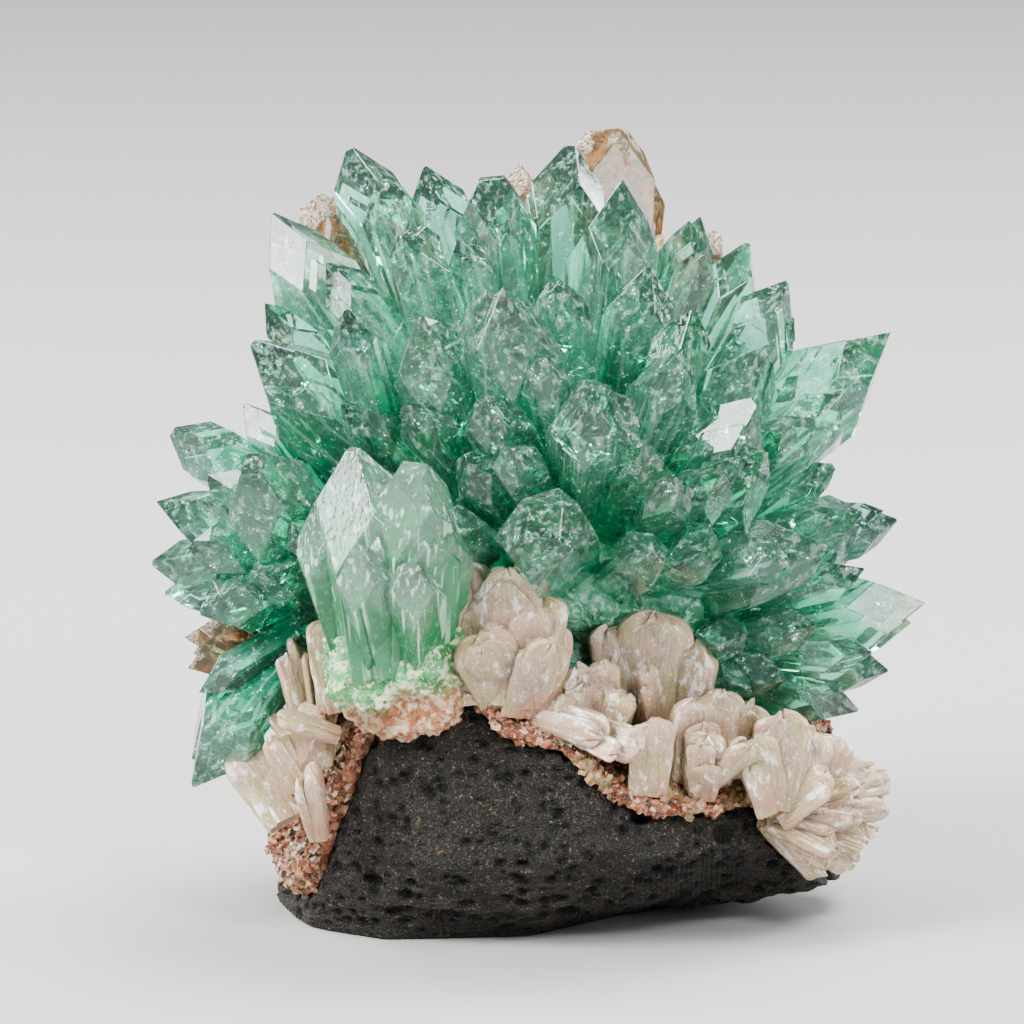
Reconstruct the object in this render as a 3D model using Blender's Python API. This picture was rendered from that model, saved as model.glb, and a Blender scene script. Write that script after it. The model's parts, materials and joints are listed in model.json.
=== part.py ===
"""A cluster of green apophyllite crystals with stilbite blades on a broken piece of basalt.

The cluster rests on a flat sawn patch under the basalt. The origin is in the middle of that patch, +Z is up
and -Y is the side that is shown. Lengths in the tables are in millimetres and become metres through MM.

Places on the shown side are given as three numbers in millimetres: across (to the right), up, and toward
(to the viewer). They are measured square to a line of sight that looks down by PICTURE_TILT, and seen() turns
them into places of the model.
"""

import math
import random

import bmesh
import bpy
from mathutils import Matrix, Vector
from mathutils import noise
from mathutils.bvhtree import BVHTree

MM = 0.001
COLLECTION_NAME = "apophyllite cluster"
PICTURE_TILT = math.radians(12.0)
NODE_GAP = 0.3

# Apophyllite is tetragonal: a square prism under a pyramid that is turned by 45 degrees to it.
PYRAMID_SLOPE = math.radians(60.5)
PYRAMID_TURN = math.radians(45.0)
FOOT_TAPER = 0.62
PLANE_SKEW = 0.16
TIP_LOSS = 0.12
SIDE_RATIO = (0.86, 1.14)

# The basalt is a flat topped lump: half sizes of its widest outline and of the patch that it rests on.
MATRIX_MIDDLE = (1.5, 1.5)
WAIST_HALF = (28.5, 22.5)
SOLE_MIDDLE = (-3.0, 1.5)
SOLE_HALF = (24.0, 17.0)
FRONT_FACE_Y = -21.0
FRONT_FACE_TURN = math.radians(6.0)
SOLE_FRONT_Y = -11.5
SOLE_CHAMFER_TURN = math.radians(45.0)
SOLE_CHAMFER_REACH = 10.5
WAIST_HEIGHT = 10.0
DOME_HEIGHT = 27.0
# How many columns of faces go around it (a multiple of 4), and how far in the rings on its top lie.
AROUND = 40
TOP_SHARES = (0.24, 0.6)


def seen(across, up, toward):
    """Turn a place given as it is seen into a place of the model, in metres."""
    back = up * math.sin(PICTURE_TILT) - toward * math.cos(PICTURE_TILT)
    height = up * math.cos(PICTURE_TILT) + toward * math.sin(PICTURE_TILT)
    return Vector((across, back, height)) * MM


# Basalt and the crust on it

# The top edge of the broken front face, from left to right: across, height, in millimetres.
RIM_PROFILE = (
    (-27.0, 1.6), (-24.0, 2.4), (-21.6, 5.5), (-20.0, 12.0), (-19.2, 20.6), (-15.0, 22.4), (-11.0, 24.2),
    (-8.0, 25.6), (-6.3, 24.6), (-5.0, 21.8), (-2.0, 21.2), (1.5, 20.6), (4.0, 18.0), (6.5, 15.6),
    (9.0, 13.8), (15.5, 13.6), (19.5, 13.8), (22.0, 12.4), (24.5, 8.6), (27.0, 5.0), (30.0, 4.0),
)
FRONT_ANGLE = -math.pi / 2.0
FRONT_CROWDING = 0.42
RIM_INSET = 1.0
BACK_RIM_HEIGHT = 16.0
# The front profile of the rim gives way to the rough rim behind over this stretch of y.
BACK_BEGINS_Y = 2.0
BACK_BLEND = 10.0
# The waist is never higher than this share of the rim, and the shin ring lies between it and the patch below.
WAIST_SHARE = 0.72
SHIN_OUT = 0.62
SHIN_UP = 0.42
CRUST_THICKNESS = 1.7
CRUST_LEFT_EXTRA = 2.0
CRUST_GAP = 1.3 * NODE_GAP
# Ripples around the matrix, each a row of height, number of waves and shift.
RAGGED_WAVES = ((0.5, 5.0, 0.7), (0.4, 11.0, 0.0))
BACK_RIM_WAVES = ((2.5, 3.0, 1.0), (1.0, 7.0, 0.0))
WAIST_WAVES = ((1.0, 4.0, 0.0),)
CRUST_WAVES = ((0.35, 9.0, 0.0), (0.3, 17.0, 2.0))
TOP_LUMP_HEIGHT = 1.2
TOP_LUMPS_PER_MM = 0.16
TOP_LUMP_SEED = 3.0


def along_profile(profile, x):
    """Height of a profile of (x, height) points at x, straight between them."""
    if x <= profile[0][0]:
        return profile[0][1]
    for (x0, z0), (x1, z1) in zip(profile, profile[1:]):
        if x <= x1:
            return z0 + (z1 - z0) * (x - x0) / (x1 - x0)
    return profile[-1][1]


def room_towards(direction, middle, point, turn):
    """Distance from the middle to a straight cut that faces the front and is turned by an angle."""
    normal = Vector((math.sin(turn), -math.cos(turn)))
    slant = direction.dot(normal)
    if slant <= 0.0:
        return math.inf
    return (Vector(point) - middle).dot(normal) / slant


def rippled(angle, waves):
    """Sum of some waves around the matrix, in millimetres."""
    return sum(height * math.sin(count * angle + shift) for height, count, shift in waves)


def ellipse_reach(direction, half):
    """Distance from the middle of an ellipse to its edge along a direction."""
    return 1.0 / math.hypot(direction.x / half[0], direction.y / half[1])


def waist_point(angle, inset=0.0):
    """Point of the widest outline of the basalt: an ellipse, cut off by the straight front face."""
    direction = Vector((math.cos(angle), math.sin(angle)))
    middle = Vector(MATRIX_MIDDLE)
    half = (WAIST_HALF[0] - inset, WAIST_HALF[1] - inset)
    reach = ellipse_reach(direction, half) + rippled(angle, RAGGED_WAVES)
    reach = min(reach, room_towards(direction, middle, (0.0, FRONT_FACE_Y), FRONT_FACE_TURN))
    return middle + direction * reach


def sole_point(angle):
    """Point of the outline of the flat patch: an ellipse with a straight front and a slanting right front."""
    direction = Vector((math.cos(angle), math.sin(angle)))
    middle = Vector(SOLE_MIDDLE)
    reach = ellipse_reach(direction, SOLE_HALF) + rippled(angle, RAGGED_WAVES)
    reach = min(reach, room_towards(direction, middle, (0.0, SOLE_FRONT_Y), FRONT_FACE_TURN))
    chamfer_normal = Vector((math.sin(SOLE_CHAMFER_TURN), -math.cos(SOLE_CHAMFER_TURN)))
    chamfer = middle + SOLE_CHAMFER_REACH * chamfer_normal
    reach = min(reach, room_towards(direction, middle, chamfer, SOLE_CHAMFER_TURN))
    return middle + direction * reach


def rim_height(angle, place):
    """Height of the basalt's top edge at this place: the front profile, or a rough low edge behind."""
    front = along_profile(RIM_PROFILE, place.x)
    back = BACK_RIM_HEIGHT + rippled(angle, BACK_RIM_WAVES)
    blend = min(max((place.y - BACK_BEGINS_Y) / BACK_BLEND, 0.0), 1.0)
    return front + (back - front) * blend


def ring_of_angles():
    """Angles of the columns around the matrix, closer together along the front face."""
    turns = [2.0 * math.pi * column / AROUND for column in range(AROUND)]
    return [FRONT_ANGLE + turn - FRONT_CROWDING * math.sin(turn) for turn in turns]


def dome_point(edge, share, edge_height, rise):
    """Point of the matrix's rough top at a share of the way from the rim to the middle."""
    middle = Vector(MATRIX_MIDDLE)
    place = edge.lerp(middle, share)
    height = edge_height + (DOME_HEIGHT - edge_height) * math.sin(share * math.pi / 2.0)
    spot = Vector((place.x * TOP_LUMPS_PER_MM, place.y * TOP_LUMPS_PER_MM, TOP_LUMP_SEED))
    lump = TOP_LUMP_HEIGHT * noise.noise(spot)
    return Vector((place.x, place.y, height + rise + lump))


def matrix_rings():
    """Rings of points of the basalt from the patch that it rests on up to its top edge and over its top."""
    sole, shin, waist, rim = [], [], [], []
    tops = [[] for _ in TOP_SHARES]
    for angle in ring_of_angles():
        low = sole_point(angle)
        wide = waist_point(angle)
        top = waist_point(angle, RIM_INSET)
        height = rim_height(angle, top)
        waist_height = min(WAIST_HEIGHT + rippled(angle, WAIST_WAVES), WAIST_SHARE * height)
        between = low.lerp(wide, SHIN_OUT)
        sole.append(Vector((low.x, low.y, 0.0)))
        shin.append(Vector((between.x, between.y, SHIN_UP * waist_height)))
        waist.append(Vector((wide.x, wide.y, waist_height)))
        rim.append(Vector((top.x, top.y, height)))
        for ring, share in zip(tops, TOP_SHARES):
            ring.append(dome_point(top, share, height, 0.0))
    return [sole, shin, waist, rim] + tops


def crust_thickness(angle):
    """Thickness of the crust at its rim: bumpy, and thicker towards the left end."""
    leftness = max(0.0, -math.cos(angle))
    return CRUST_THICKNESS + rippled(angle, CRUST_WAVES) + CRUST_LEFT_EXTRA * leftness ** 2


def crust_rings():
    """Rings of the crust: in under it from the middle to the rim, around its lip, and back over its top."""
    under = [[] for _ in TOP_SHARES]
    under_rim, lip, over_rim = [], [], []
    over = [[] for _ in TOP_SHARES]
    for angle in ring_of_angles():
        top = waist_point(angle, RIM_INSET)
        height = rim_height(angle, top)
        outward = (top - Vector(MATRIX_MIDDLE)).normalized()
        thick = crust_thickness(angle)
        for ring, share in zip(under, TOP_SHARES):
            ring.append(dome_point(top, share, height, CRUST_GAP))
        under_rim.append(Vector((top.x, top.y, height + CRUST_GAP)))
        out = top + outward * 0.5 * thick
        lip.append(Vector((out.x, out.y, height + 0.5 * thick)))
        over_rim.append(Vector((top.x, top.y, height + thick)))
        for ring, share in zip(over, TOP_SHARES):
            ring.append(dome_point(top, share, height, thick))
    return under[::-1] + [under_rim, lip, over_rim] + over


def ringed_mesh(name, rings, first_pole, last_pole):
    """A round body whose rings and poles are moved to the given points (a sphere primitive, reshaped)."""
    bm = bmesh.new()
    bmesh.ops.create_uvsphere(bm, u_segments=AROUND, v_segments=len(rings) + 1, radius=1.0)
    for vert in bm.verts:
        latitude = math.asin(max(-1.0, min(1.0, vert.co.z)))
        ring = round((latitude / math.pi + 0.5) * (len(rings) + 1)) - 1
        column = round(math.atan2(vert.co.y, vert.co.x) / (2.0 * math.pi) * AROUND) % AROUND
        if ring < 0:
            place = first_pole
        elif ring == len(rings):
            place = last_pole
        else:
            place = rings[ring][column]
        vert.co = Vector(place) * MM
    bmesh.ops.triangulate(bm, faces=bm.faces, quad_method="SHORT_EDGE")
    mesh = bpy.data.meshes.new(name)
    bm.to_mesh(mesh)
    bm.free()
    return mesh


# Single crystals

TOWARD_VIEWER = Vector((0.0, -math.cos(PICTURE_TILT), math.sin(PICTURE_TILT)))
SLICE_MERGE = 1e-7
BODY_MERGE = 2e-6
CUT_NORMAL = Vector((0.06, 0.04, 1.0))
BLADE_TIP_SHARE = 0.12
LUMP_ROUGHNESS = 0.16
LUMP_SCALE = 1.7
LARGE_LUMP = 10.0


class Crystal:
    """One pointed crystal: its foot and tip in metres, its width in millimetres, and how its tip is cut."""

    def __init__(self, foot, tip, width, spin=0.0, cut=0.0, seed=0, taper=FOOT_TAPER):
        self.foot = foot
        self.tip = tip
        self.width = width
        self.spin = math.radians(spin)
        self.cut = cut
        self.seed = seed
        self.taper = taper

    def mesh(self, grow=0.0):
        """Mesh of the crystal, or of one that is larger all round by grow."""
        return crystal_mesh(self, grow)


def placed(foot, tip, spin):
    """Matrix that stands +Z along the line from foot to tip, with its side turned by spin."""
    axis = (tip - foot).normalized()
    side = TOWARD_VIEWER.cross(axis).normalized()
    front = axis.cross(side)
    turn = Matrix((side, front, axis)).transposed().to_4x4()
    return Matrix.Translation(foot) @ turn @ Matrix.Rotation(spin, 4, "Z")


def sliced(bm, point, normal):
    """Cut away what lies beyond a plane and close the cut."""
    geometry = bm.verts[:] + bm.edges[:] + bm.faces[:]
    bmesh.ops.bisect_plane(
        bm, geom=geometry, dist=SLICE_MERGE, plane_co=point, plane_no=normal, clear_outer=True
    )
    bmesh.ops.holes_fill(bm, edges=bm.edges)


def crystal_mesh(crystal, grow):
    """Mesh of one crystal; grow makes it larger all round, as a cutter for what stands beside it."""
    chance = random.Random(crystal.seed)
    width = crystal.width * MM
    length = (crystal.tip - crystal.foot).length + max(crystal.cut, TIP_LOSS) * width
    grown = grow * MM
    bm = bmesh.new()
    half_diagonal = (width / 2.0 + grown) * math.sqrt(2.0)
    foot_half = (width * crystal.taper / 2.0 + grown) * math.sqrt(2.0)
    bmesh.ops.create_cone(
        bm, cap_ends=True, segments=4, radius1=foot_half, radius2=half_diagonal, depth=length + 4.0 * grown
    )
    bmesh.ops.rotate(bm, verts=bm.verts, matrix=Matrix.Rotation(math.radians(45.0), 3, "Z"))
    bmesh.ops.translate(bm, verts=bm.verts, vec=(0.0, 0.0, length / 2.0))
    bmesh.ops.scale(bm, verts=bm.verts, vec=(chance.uniform(*SIDE_RATIO), chance.uniform(*SIDE_RATIO), 1.0))
    apex = Vector((0.0, 0.0, length))
    for side in range(4):
        turn = PYRAMID_TURN + side * math.pi / 2.0
        slope = math.sin(PYRAMID_SLOPE)
        normal = Vector((math.cos(turn) * slope, math.sin(turn) * slope, math.cos(PYRAMID_SLOPE)))
        inward = chance.uniform(0.0, PLANE_SKEW) * width
        sliced(bm, apex + normal * (grown - inward), normal)
    if crystal.cut > 0.0:
        sliced(bm, apex - Vector((0.0, 0.0, crystal.cut * width - grown)), CUT_NORMAL)
    bmesh.ops.transform(bm, matrix=placed(crystal.foot, crystal.tip, crystal.spin), verts=bm.verts)
    bmesh.ops.recalc_face_normals(bm, faces=bm.faces)
    mesh = bpy.data.meshes.new("crystal")
    bm.to_mesh(mesh)
    bm.free()
    return mesh


class Blade:
    """One flat stilbite blade, bevelled at its tip: foot and tip in metres, width and thickness in mm."""

    def __init__(self, foot, tip, width, thickness, spin=0.0, point=0.4, taper=0.7):
        self.foot = foot
        self.tip = tip
        self.width = width
        self.thickness = thickness
        self.spin = math.radians(spin)
        self.point = point
        self.taper = taper

    def mesh(self, grow=0.0):
        """Mesh of the blade, or of one that is larger all round by grow."""
        return blade_mesh(self, grow)


def blade_mesh(blade, grow):
    """Mesh of one blade: a flat box, narrower at its foot, with two cuts that make its blunt point."""
    length = (blade.tip - blade.foot).length
    width = blade.width * MM
    grown = grow * MM
    bm = bmesh.new()
    bmesh.ops.create_cube(bm, size=1.0)
    for vert in bm.verts:
        narrow = blade.taper if vert.co.z < 0 else 1.0
        vert.co.x *= width * narrow + 2.0 * grown
        vert.co.y *= blade.thickness * MM * (0.5 + 0.5 * narrow) + 2.0 * grown
        vert.co.z = length + grown if vert.co.z > 0 else -grown
    for side in (-1.0, 1.0):
        shoulder = Vector((side * (width / 2.0), 0.0, length - blade.point * width))
        middle = Vector((side * BLADE_TIP_SHARE * width, 0.0, length))
        along = middle - shoulder
        normal = Vector((side * along.z, 0.0, abs(along.x))).normalized()
        sliced(bm, shoulder + normal * grown, normal)
    bmesh.ops.transform(bm, matrix=placed(blade.foot, blade.tip, blade.spin), verts=bm.verts)
    bmesh.ops.recalc_face_normals(bm, faces=bm.faces)
    mesh = bpy.data.meshes.new("blade")
    bm.to_mesh(mesh)
    bm.free()
    return mesh


def lump_mesh(middle, radii, seed, grow=0.0):
    """A rough round lump, for the mass that crystals grow out of."""
    bm = bmesh.new()
    bmesh.ops.create_icosphere(bm, subdivisions=2 if max(radii) > LARGE_LUMP else 1, radius=1.0)
    for vert in bm.verts:
        rough = 1.0 + LUMP_ROUGHNESS * noise.noise(vert.co * LUMP_SCALE + Vector((seed, 0.0, 0.0)))
        for axis in range(3):
            vert.co[axis] *= (radii[axis] * rough + grow) * MM
    bmesh.ops.translate(bm, verts=bm.verts, vec=middle)
    mesh = bpy.data.meshes.new("lump")
    bm.to_mesh(mesh)
    bm.free()
    return mesh


# Joining and cutting

def helper_collection(name, meshes):
    """A collection of hidden shapes for a Boolean modifier."""
    group = bpy.data.collections.new(name)
    bpy.context.scene.collection.children.link(group)
    for mesh in meshes:
        helper = bpy.data.objects.new(name, mesh)
        helper.hide_render = True
        helper.display_type = "WIRE"
        group.objects.link(helper)
    return group


def boolean_mesh(name, mesh, operation, others):
    """The mesh joined with, or cut by, the other meshes; the helper objects are removed again."""
    if not others:
        return mesh
    group = helper_collection(name + " shapes", others)
    base = bpy.data.objects.new(name + " base", mesh)
    group.objects.link(base)
    inner = bpy.data.collections.new(name + " operands")
    bpy.context.scene.collection.children.link(inner)
    for helper in list(group.objects):
        if helper != base:
            inner.objects.link(helper)
    modifier = base.modifiers.new("Boolean", "BOOLEAN")
    modifier.operation = operation
    modifier.operand_type = "COLLECTION"
    modifier.collection = inner
    modifier.solver = "EXACT"
    depsgraph = bpy.context.evaluated_depsgraph_get()
    result = bpy.data.meshes.new_from_object(base.evaluated_get(depsgraph))
    result.name = name
    for helper in list(group.objects):
        bpy.data.objects.remove(helper)
    bpy.data.collections.remove(inner)
    bpy.data.collections.remove(group)
    return result


def largest_body(mesh):
    """Keep the largest connected body of a mesh: loose chips and sealed hollows go."""
    bm = bmesh.new()
    bm.from_mesh(mesh)
    bmesh.ops.remove_doubles(bm, verts=bm.verts, dist=BODY_MERGE)
    bmesh.ops.dissolve_degenerate(bm, dist=BODY_MERGE, edges=bm.edges)
    unseen = set(bm.faces)
    bodies = []
    while unseen:
        start = unseen.pop()
        body = {start}
        queue = [start]
        while queue:
            face = queue.pop()
            for edge in face.edges:
                for other in edge.link_faces:
                    if other in unseen:
                        unseen.remove(other)
                        body.add(other)
                        queue.append(other)
        bodies.append(body)
    keep = max(bodies, key=lambda body: sum(face.calc_area() for face in body))
    drop = [face for face in bm.faces if face not in keep]
    bmesh.ops.delete(bm, geom=drop, context="FACES")
    loose = [vert for vert in bm.verts if not vert.link_faces]
    bmesh.ops.delete(bm, geom=loose, context="VERTS")
    bm.to_mesh(mesh)
    bm.free()
    return mesh


def add_node(name, mesh, material):
    """Put a finished mesh in the part's collection with its material."""
    mesh.name = name
    mesh.materials.clear()
    mesh.materials.append(material)
    node = bpy.data.objects.new(name, mesh)
    bpy.data.collections[COLLECTION_NAME].objects.link(node)
    return node


# The green apophyllite sprays

# A crystal with no foot of its own starts this share of the way from the spray's root to its tip.
FOOT_SHARE = 0.08
# Rows: tip as seen (across, up, toward), foot as seen or None for the root, width, spin, cut of the tip.
MAIN_ROOT = (4.0, 30.6, 6.5)
MAIN_CRYSTALS = (
    ((-19.3, 75.8, 4.0), (-3.0, 33.0, 5.0), 6.8, 20, 0.30),
    ((-16.0, 73.2, 9.5), (-2.0, 33.0, 7.0), 4.6, 50, 0.25),
    ((-11.7, 74.0, 8.0), (2.0, 34.0, 6.0), 5.6, 10, 0.20),
    ((-8.4, 71.6, 3.0), None, 2.8, 35, 0.0),
    ((-7.6, 70.2, 9.0), None, 3.2, 5, 0.0),
    ((-27.0, 69.2, 9.0), (-6.0, 35.0, 6.0), 6.4, 30, 0.30),
    ((-27.6, 60.8, 9.0), (-4.0, 34.0, 6.0), 4.6, 10, 0.1),
    ((-28.8, 56.6, 16.0), (-3.0, 33.0, 8.0), 8.4, 40, 0.22),
    ((-19.4, 59.4, 30.0), (-13.0, 37.0, 12.0), 4.0, 45, 0.0),
    ((-13.4, 67.2, 21.0), (-5.0, 34.0, 8.0), 5.6, 5, 0.50),
    ((-8.7, 66.6, 19.0), None, 3.2, 20, 0.0),
    ((-12.4, 58.8, 32.0), (-4.0, 33.0, 8.0), 7.0, 25, 0.15),
    ((-4.3, 62.2, 35.5), (-2.0, 33.0, 8.0), 8.4, 45, 0.10),
    ((-5.4, 72.6, 14.0), (-2.0, 34.0, 7.0), 5.8, 42, 0.42),
    ((2.6, 76.7, 8.0), (-1.0, 33.0, 6.0), 7.4, 15, 0.04),
    ((7.2, 72.8, 17.0), (4.0, 33.0, 7.0), 6.4, 38, 0.06),
    ((1.2, 62.6, 29.0), None, 4.6, 10, 0.0),
    ((20.2, 66.4, 7.0), None, 5.4, 40, 0.10),
    ((24.2, 62.4, 9.0), None, 6.2, 15, 0.16),
    ((24.9, 59.2, 9.0), None, 2.4, 0, 0.0),
    ((22.2, 57.0, 18.0), (5.0, 32.0, 7.0), 7.4, 30, 0.12),
    ((34.8, 57.6, 9.0), (4.0, 31.0, 6.0), 7.8, 42, 0.18),
    ((30.4, 51.6, 16.0), None, 5.6, 10, 0.08),
    ((28.8, 44.2, 15.0), None, 3.2, 30, 0.0),
    ((5.2, 51.8, 40.0), (3.0, 31.0, 8.0), 6.4, 40, 0.06),
    ((20.8, 51.0, 26.0), None, 7.2, 20, 0.06),
    ((22.0, 45.6, 27.0), None, 7.0, 42, 0.06),
    ((27.6, 37.2, 23.0), (5.0, 30.0, 7.0), 8.8, 12, 0.10),
    ((-0.4, 38.4, 39.0), (2.0, 31.0, 8.0), 7.2, 20, 0.50),
    ((10.4, 36.0, 36.0), (4.0, 31.0, 8.0), 4.2, 30, 0.0),
    ((10.6, 64.0, 22.0), None, 5.6, 25, 0.0),
    ((14.6, 60.0, 22.0), None, 5.8, 5, 0.05),
    ((13.4, 55.6, 30.0), None, 5.4, 40, 0.0),
    ((15.6, 69.4, 9.0), None, 5.0, 30, 0.0),
    ((9.8, 46.4, 36.0), None, 4.6, 12, 0.0),
    ((13.0, 43.0, 34.0), None, 4.2, 35, 0.0),
    ((-6.0, 51.0, 35.0), None, 4.8, 20, 0.0),
    ((-1.0, 55.0, 35.0), None, 4.6, 50, 0.0),
    ((-14.0, 50.4, 31.0), None, 4.8, 10, 0.0),
    ((-20.5, 50.6, 25.0), None, 4.8, 44, 0.0),
    ((-8.0, 45.0, 34.0), None, 4.6, 30, 0.0),
    ((-3.8, 46.0, 37.5), None, 4.2, 10, 0.0),
    ((-22.0, 64.4, 18.0), None, 5.0, 12, 0.0),
    ((28.0, 53.8, 9.0), None, 4.6, 25, 0.0),
    ((17.0, 37.0, 31.0), None, 4.6, 40, 0.0),
)

LEFT_ROOT = (-20.5, 34.0, 9.0)
LEFT_CRYSTALS = (
    ((-37.8, 48.0, 9.0), (-20.0, 38.0, 8.0), 6.2, 10, 0.12),
    ((-38.8, 40.6, 13.0), None, 5.8, 35, 0.10),
    ((-29.0, 44.6, 27.0), (-22.5, 31.0, 12.0), 9.0, 12, 0.40),
    ((-39.6, 34.4, 10.0), None, 5.6, 20, 0.06),
    ((-38.0, 31.4, 7.0), None, 3.8, 40, 0.0),
    ((-34.6, 29.8, 19.0), None, 6.0, 25, 0.05),
    ((-30.6, 51.2, 9.0), (-20.5, 38.0, 8.0), 5.4, 40, 0.0),
    ((-33.6, 43.0, 21.0), None, 5.0, 5, 0.0),
    ((-28.0, 33.6, 26.0), None, 5.8, 30, 0.0),
    ((-35.4, 36.4, 20.0), None, 4.8, 12, 0.0),
    ((-33.6, 40.0, 3.0), None, 5.4, 30, 0.0),
    ((-24.6, 38.6, 28.0), None, 4.6, 15, 0.0),
    ((-30.6, 30.0, -2.0), None, 5.4, 10, 0.0),
)

LOWER_LEFT_ROOT = (-22.5, 27.5, 11.0)
LOWER_LEFT_CRYSTALS = (
    ((-34.6, 21.6, 14.0), (-20.5, 30.0, 14.0), 3.0, 40, 0.0),
    ((-35.8, 11.4, 13.0), (-23.0, 28.0, 10.0), 7.6, 42, 0.10),
    ((-28.6, 13.6, 14.0), (-22.5, 27.0, 11.0), 4.6, 20, 0.0),
    ((-33.0, 20.0, 7.0), None, 5.0, 10, 0.0),
)

COLUMN_ROOT = (-14.6, 25.0, 22.5)
COLUMN_TAPER = 0.84
COLUMN_CRYSTALS = (
    ((-19.0, 45.6, 33.0), (-16.4, 25.0, 24.0), 8.0, 12, 0.18),
    ((-13.0, 43.8, 33.5), (-13.6, 25.0, 24.0), 7.8, 30, 0.45),
    ((-22.4, 41.2, 30.5), (-18.0, 26.0, 23.0), 5.4, 5, 0.1),
    ((-10.2, 41.4, 33.5), (-11.8, 26.0, 24.0), 5.4, 40, 0.15),
    ((-18.6, 37.0, 36.0), (-16.0, 25.0, 25.0), 5.4, 20, 0.0),
    ((-13.4, 35.4, 36.5), (-13.0, 25.0, 25.0), 5.2, 45, 0.0),
)

LOWER_RIGHT_ROOT = (11.0, 26.0, 9.0)
LOWER_RIGHT_CRYSTALS = (
    ((31.8, 39.4, 9.0), None, 4.6, 20, 0.05),
    ((31.8, 34.2, 12.0), None, 3.8, 40, 0.0),
    ((38.2, 30.8, 9.0), (14.0, 26.4, 9.0), 6.4, 38, 0.05),
    ((32.4, 25.4, 12.0), None, 3.6, 10, 0.0),
    ((34.0, 23.8, 9.0), None, 4.2, 30, 0.0),
    ((31.2, 19.8, 8.0), None, 4.8, 42, 0.05),
    ((27.0, 28.4, 19.0), None, 4.4, 15, 0.0),
    ((24.0, 23.2, 18.0), None, 4.0, 30, 0.0),
    ((20.4, 21.6, 19.0), None, 3.8, 5, 0.0),
    ((19.6, 27.6, 22.0), None, 3.8, 25, 0.0),
)

# Iron stained crystals that show behind the spray: tip, foot, width, spin, cut.
BROWN_TOP_CRYSTALS = (
    ((6.4, 77.6, 1.0), (7.0, 55.0, 4.0), 7.0, 25, 0.55),
    ((3.6, 76.0, -3.0), (6.0, 55.0, 2.0), 4.6, 10, 0.6),
    ((9.0, 74.6, -1.0), (8.0, 55.0, 3.0), 4.4, 40, 0.5),
)


def crystals_of(rows, root, first_seed, taper=FOOT_TAPER):
    """The crystals of a table; a row with no foot starts near the root, drawn a little towards its tip."""
    crystals = []
    for number, (tip, foot, width, spin, cut) in enumerate(rows):
        if foot is None:
            foot = tuple(Vector(root).lerp(Vector(tip), FOOT_SHARE))
        crystals.append(Crystal(seen(*foot), seen(*tip), width, spin, cut, first_seed + number, taper))
    return crystals


BROWN_RIGHT_CRYSTALS = (
    ((17.0, 67.6, 3.0), (9.0, 52.0, 3.0), 4.8, 40, 0.35),
    ((14.0, 65.6, 0.0), (8.0, 52.0, 1.0), 3.6, 10, 0.2),
)
BROWN_MIDDLE_CRYSTALS = (
    ((-2.6, 74.6, 0.0), (-1.0, 56.0, 2.0), 3.4, 20, 0.05),
    ((-4.8, 71.0, -2.0), (-2.0, 56.0, 0.0), 3.2, 35, 0.1),
)
BROWN_LEFT_CRYSTALS = (
    ((-23.6, 70.6, 0.0), (-13.0, 54.0, 1.0), 5.4, 15, 0.5),
    ((-27.0, 65.4, 1.0), (-15.0, 52.0, 1.0), 4.6, 40, 0.4),
    ((-20.6, 70.2, -3.0), (-11.0, 54.0, -1.0), 4.4, 5, 0.3),
)
STAINED_LEFT_CRYSTALS = (
    ((-35.6, 24.2, 11.0), (-27.0, 27.0, 9.0), 4.2, 30, 0.1),
    ((-34.2, 28.2, 11.0), (-27.0, 28.0, 9.0), 3.6, 10, 0.0),
    ((-36.0, 27.0, 7.0), (-27.0, 27.0, 8.0), 3.4, 45, 0.2),
)
SPLINTER = (
    ((29.7, 47.6, 10.0), (25.4, 44.4, 10.0), 1.5, 20, 0.1),
)

# The side that isn't shown is covered by crystals at evenly spread directions around the root.
HIDDEN_COUNT = 70
HIDDEN_REACH = (35.0, 41.0)
HIDDEN_WIDTH = (5.2, 7.6)
HIDDEN_CUTS = (0.0, 0.1, 0.3)
HIDDEN_FROM = 0.3
HIDDEN_LOWEST = -0.25
HIDDEN_ROOM = math.radians(15.0)
HIDDEN_FOOT = 3.0
# Those that point sideways are shorter by up to this share, so that they stay behind the shown outline.
HIDDEN_NARROWER = 0.2
GOLDEN_TURN = math.pi * (3.0 - math.sqrt(5.0))


def spiral_direction(number, count):
    """One of count directions that are spread evenly over a sphere."""
    height = 1.0 - 2.0 * (number + 0.5) / count
    turn = number * GOLDEN_TURN
    level = math.sqrt(1.0 - height * height)
    return Vector((level * math.cos(turn), level * math.sin(turn), height))


def hidden_crystals(taken, root, first_seed):
    """Crystals over the back of the main spray, where no crystal of the tables points already."""
    chance = random.Random(first_seed)
    start = seen(*root)
    directions = [(crystal.tip - start).normalized() for crystal in taken]
    found = []
    for number in range(HIDDEN_COUNT):
        direction = spiral_direction(number, HIDDEN_COUNT)
        shown = direction.y < HIDDEN_FROM
        too_low = direction.z < HIDDEN_LOWEST
        crowded = any(direction.angle(other) < HIDDEN_ROOM for other in directions)
        if shown or too_low or crowded:
            continue
        reach = chance.uniform(*HIDDEN_REACH) * (1.0 - HIDDEN_NARROWER * abs(direction.x))
        tip = start + direction * reach * MM
        foot = start + direction * HIDDEN_FOOT * MM
        width = chance.uniform(*HIDDEN_WIDTH)
        found.append(Crystal(foot, tip, width, chance.uniform(0.0, 90.0), chance.choice(HIDDEN_CUTS), number))
    return found


# Small crystals between the large ones of the shown side.
FILLER_COUNT = 150
FILLER_REACH = (27.0, 33.0)
FILLER_WIDTH = (3.6, 4.8)
FILLER_ROOM = math.radians(10.0)
FILLER_BEHIND = 0.35
FILLER_LOWEST = 0.2
FILLER_FOOT = 4.0


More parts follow.
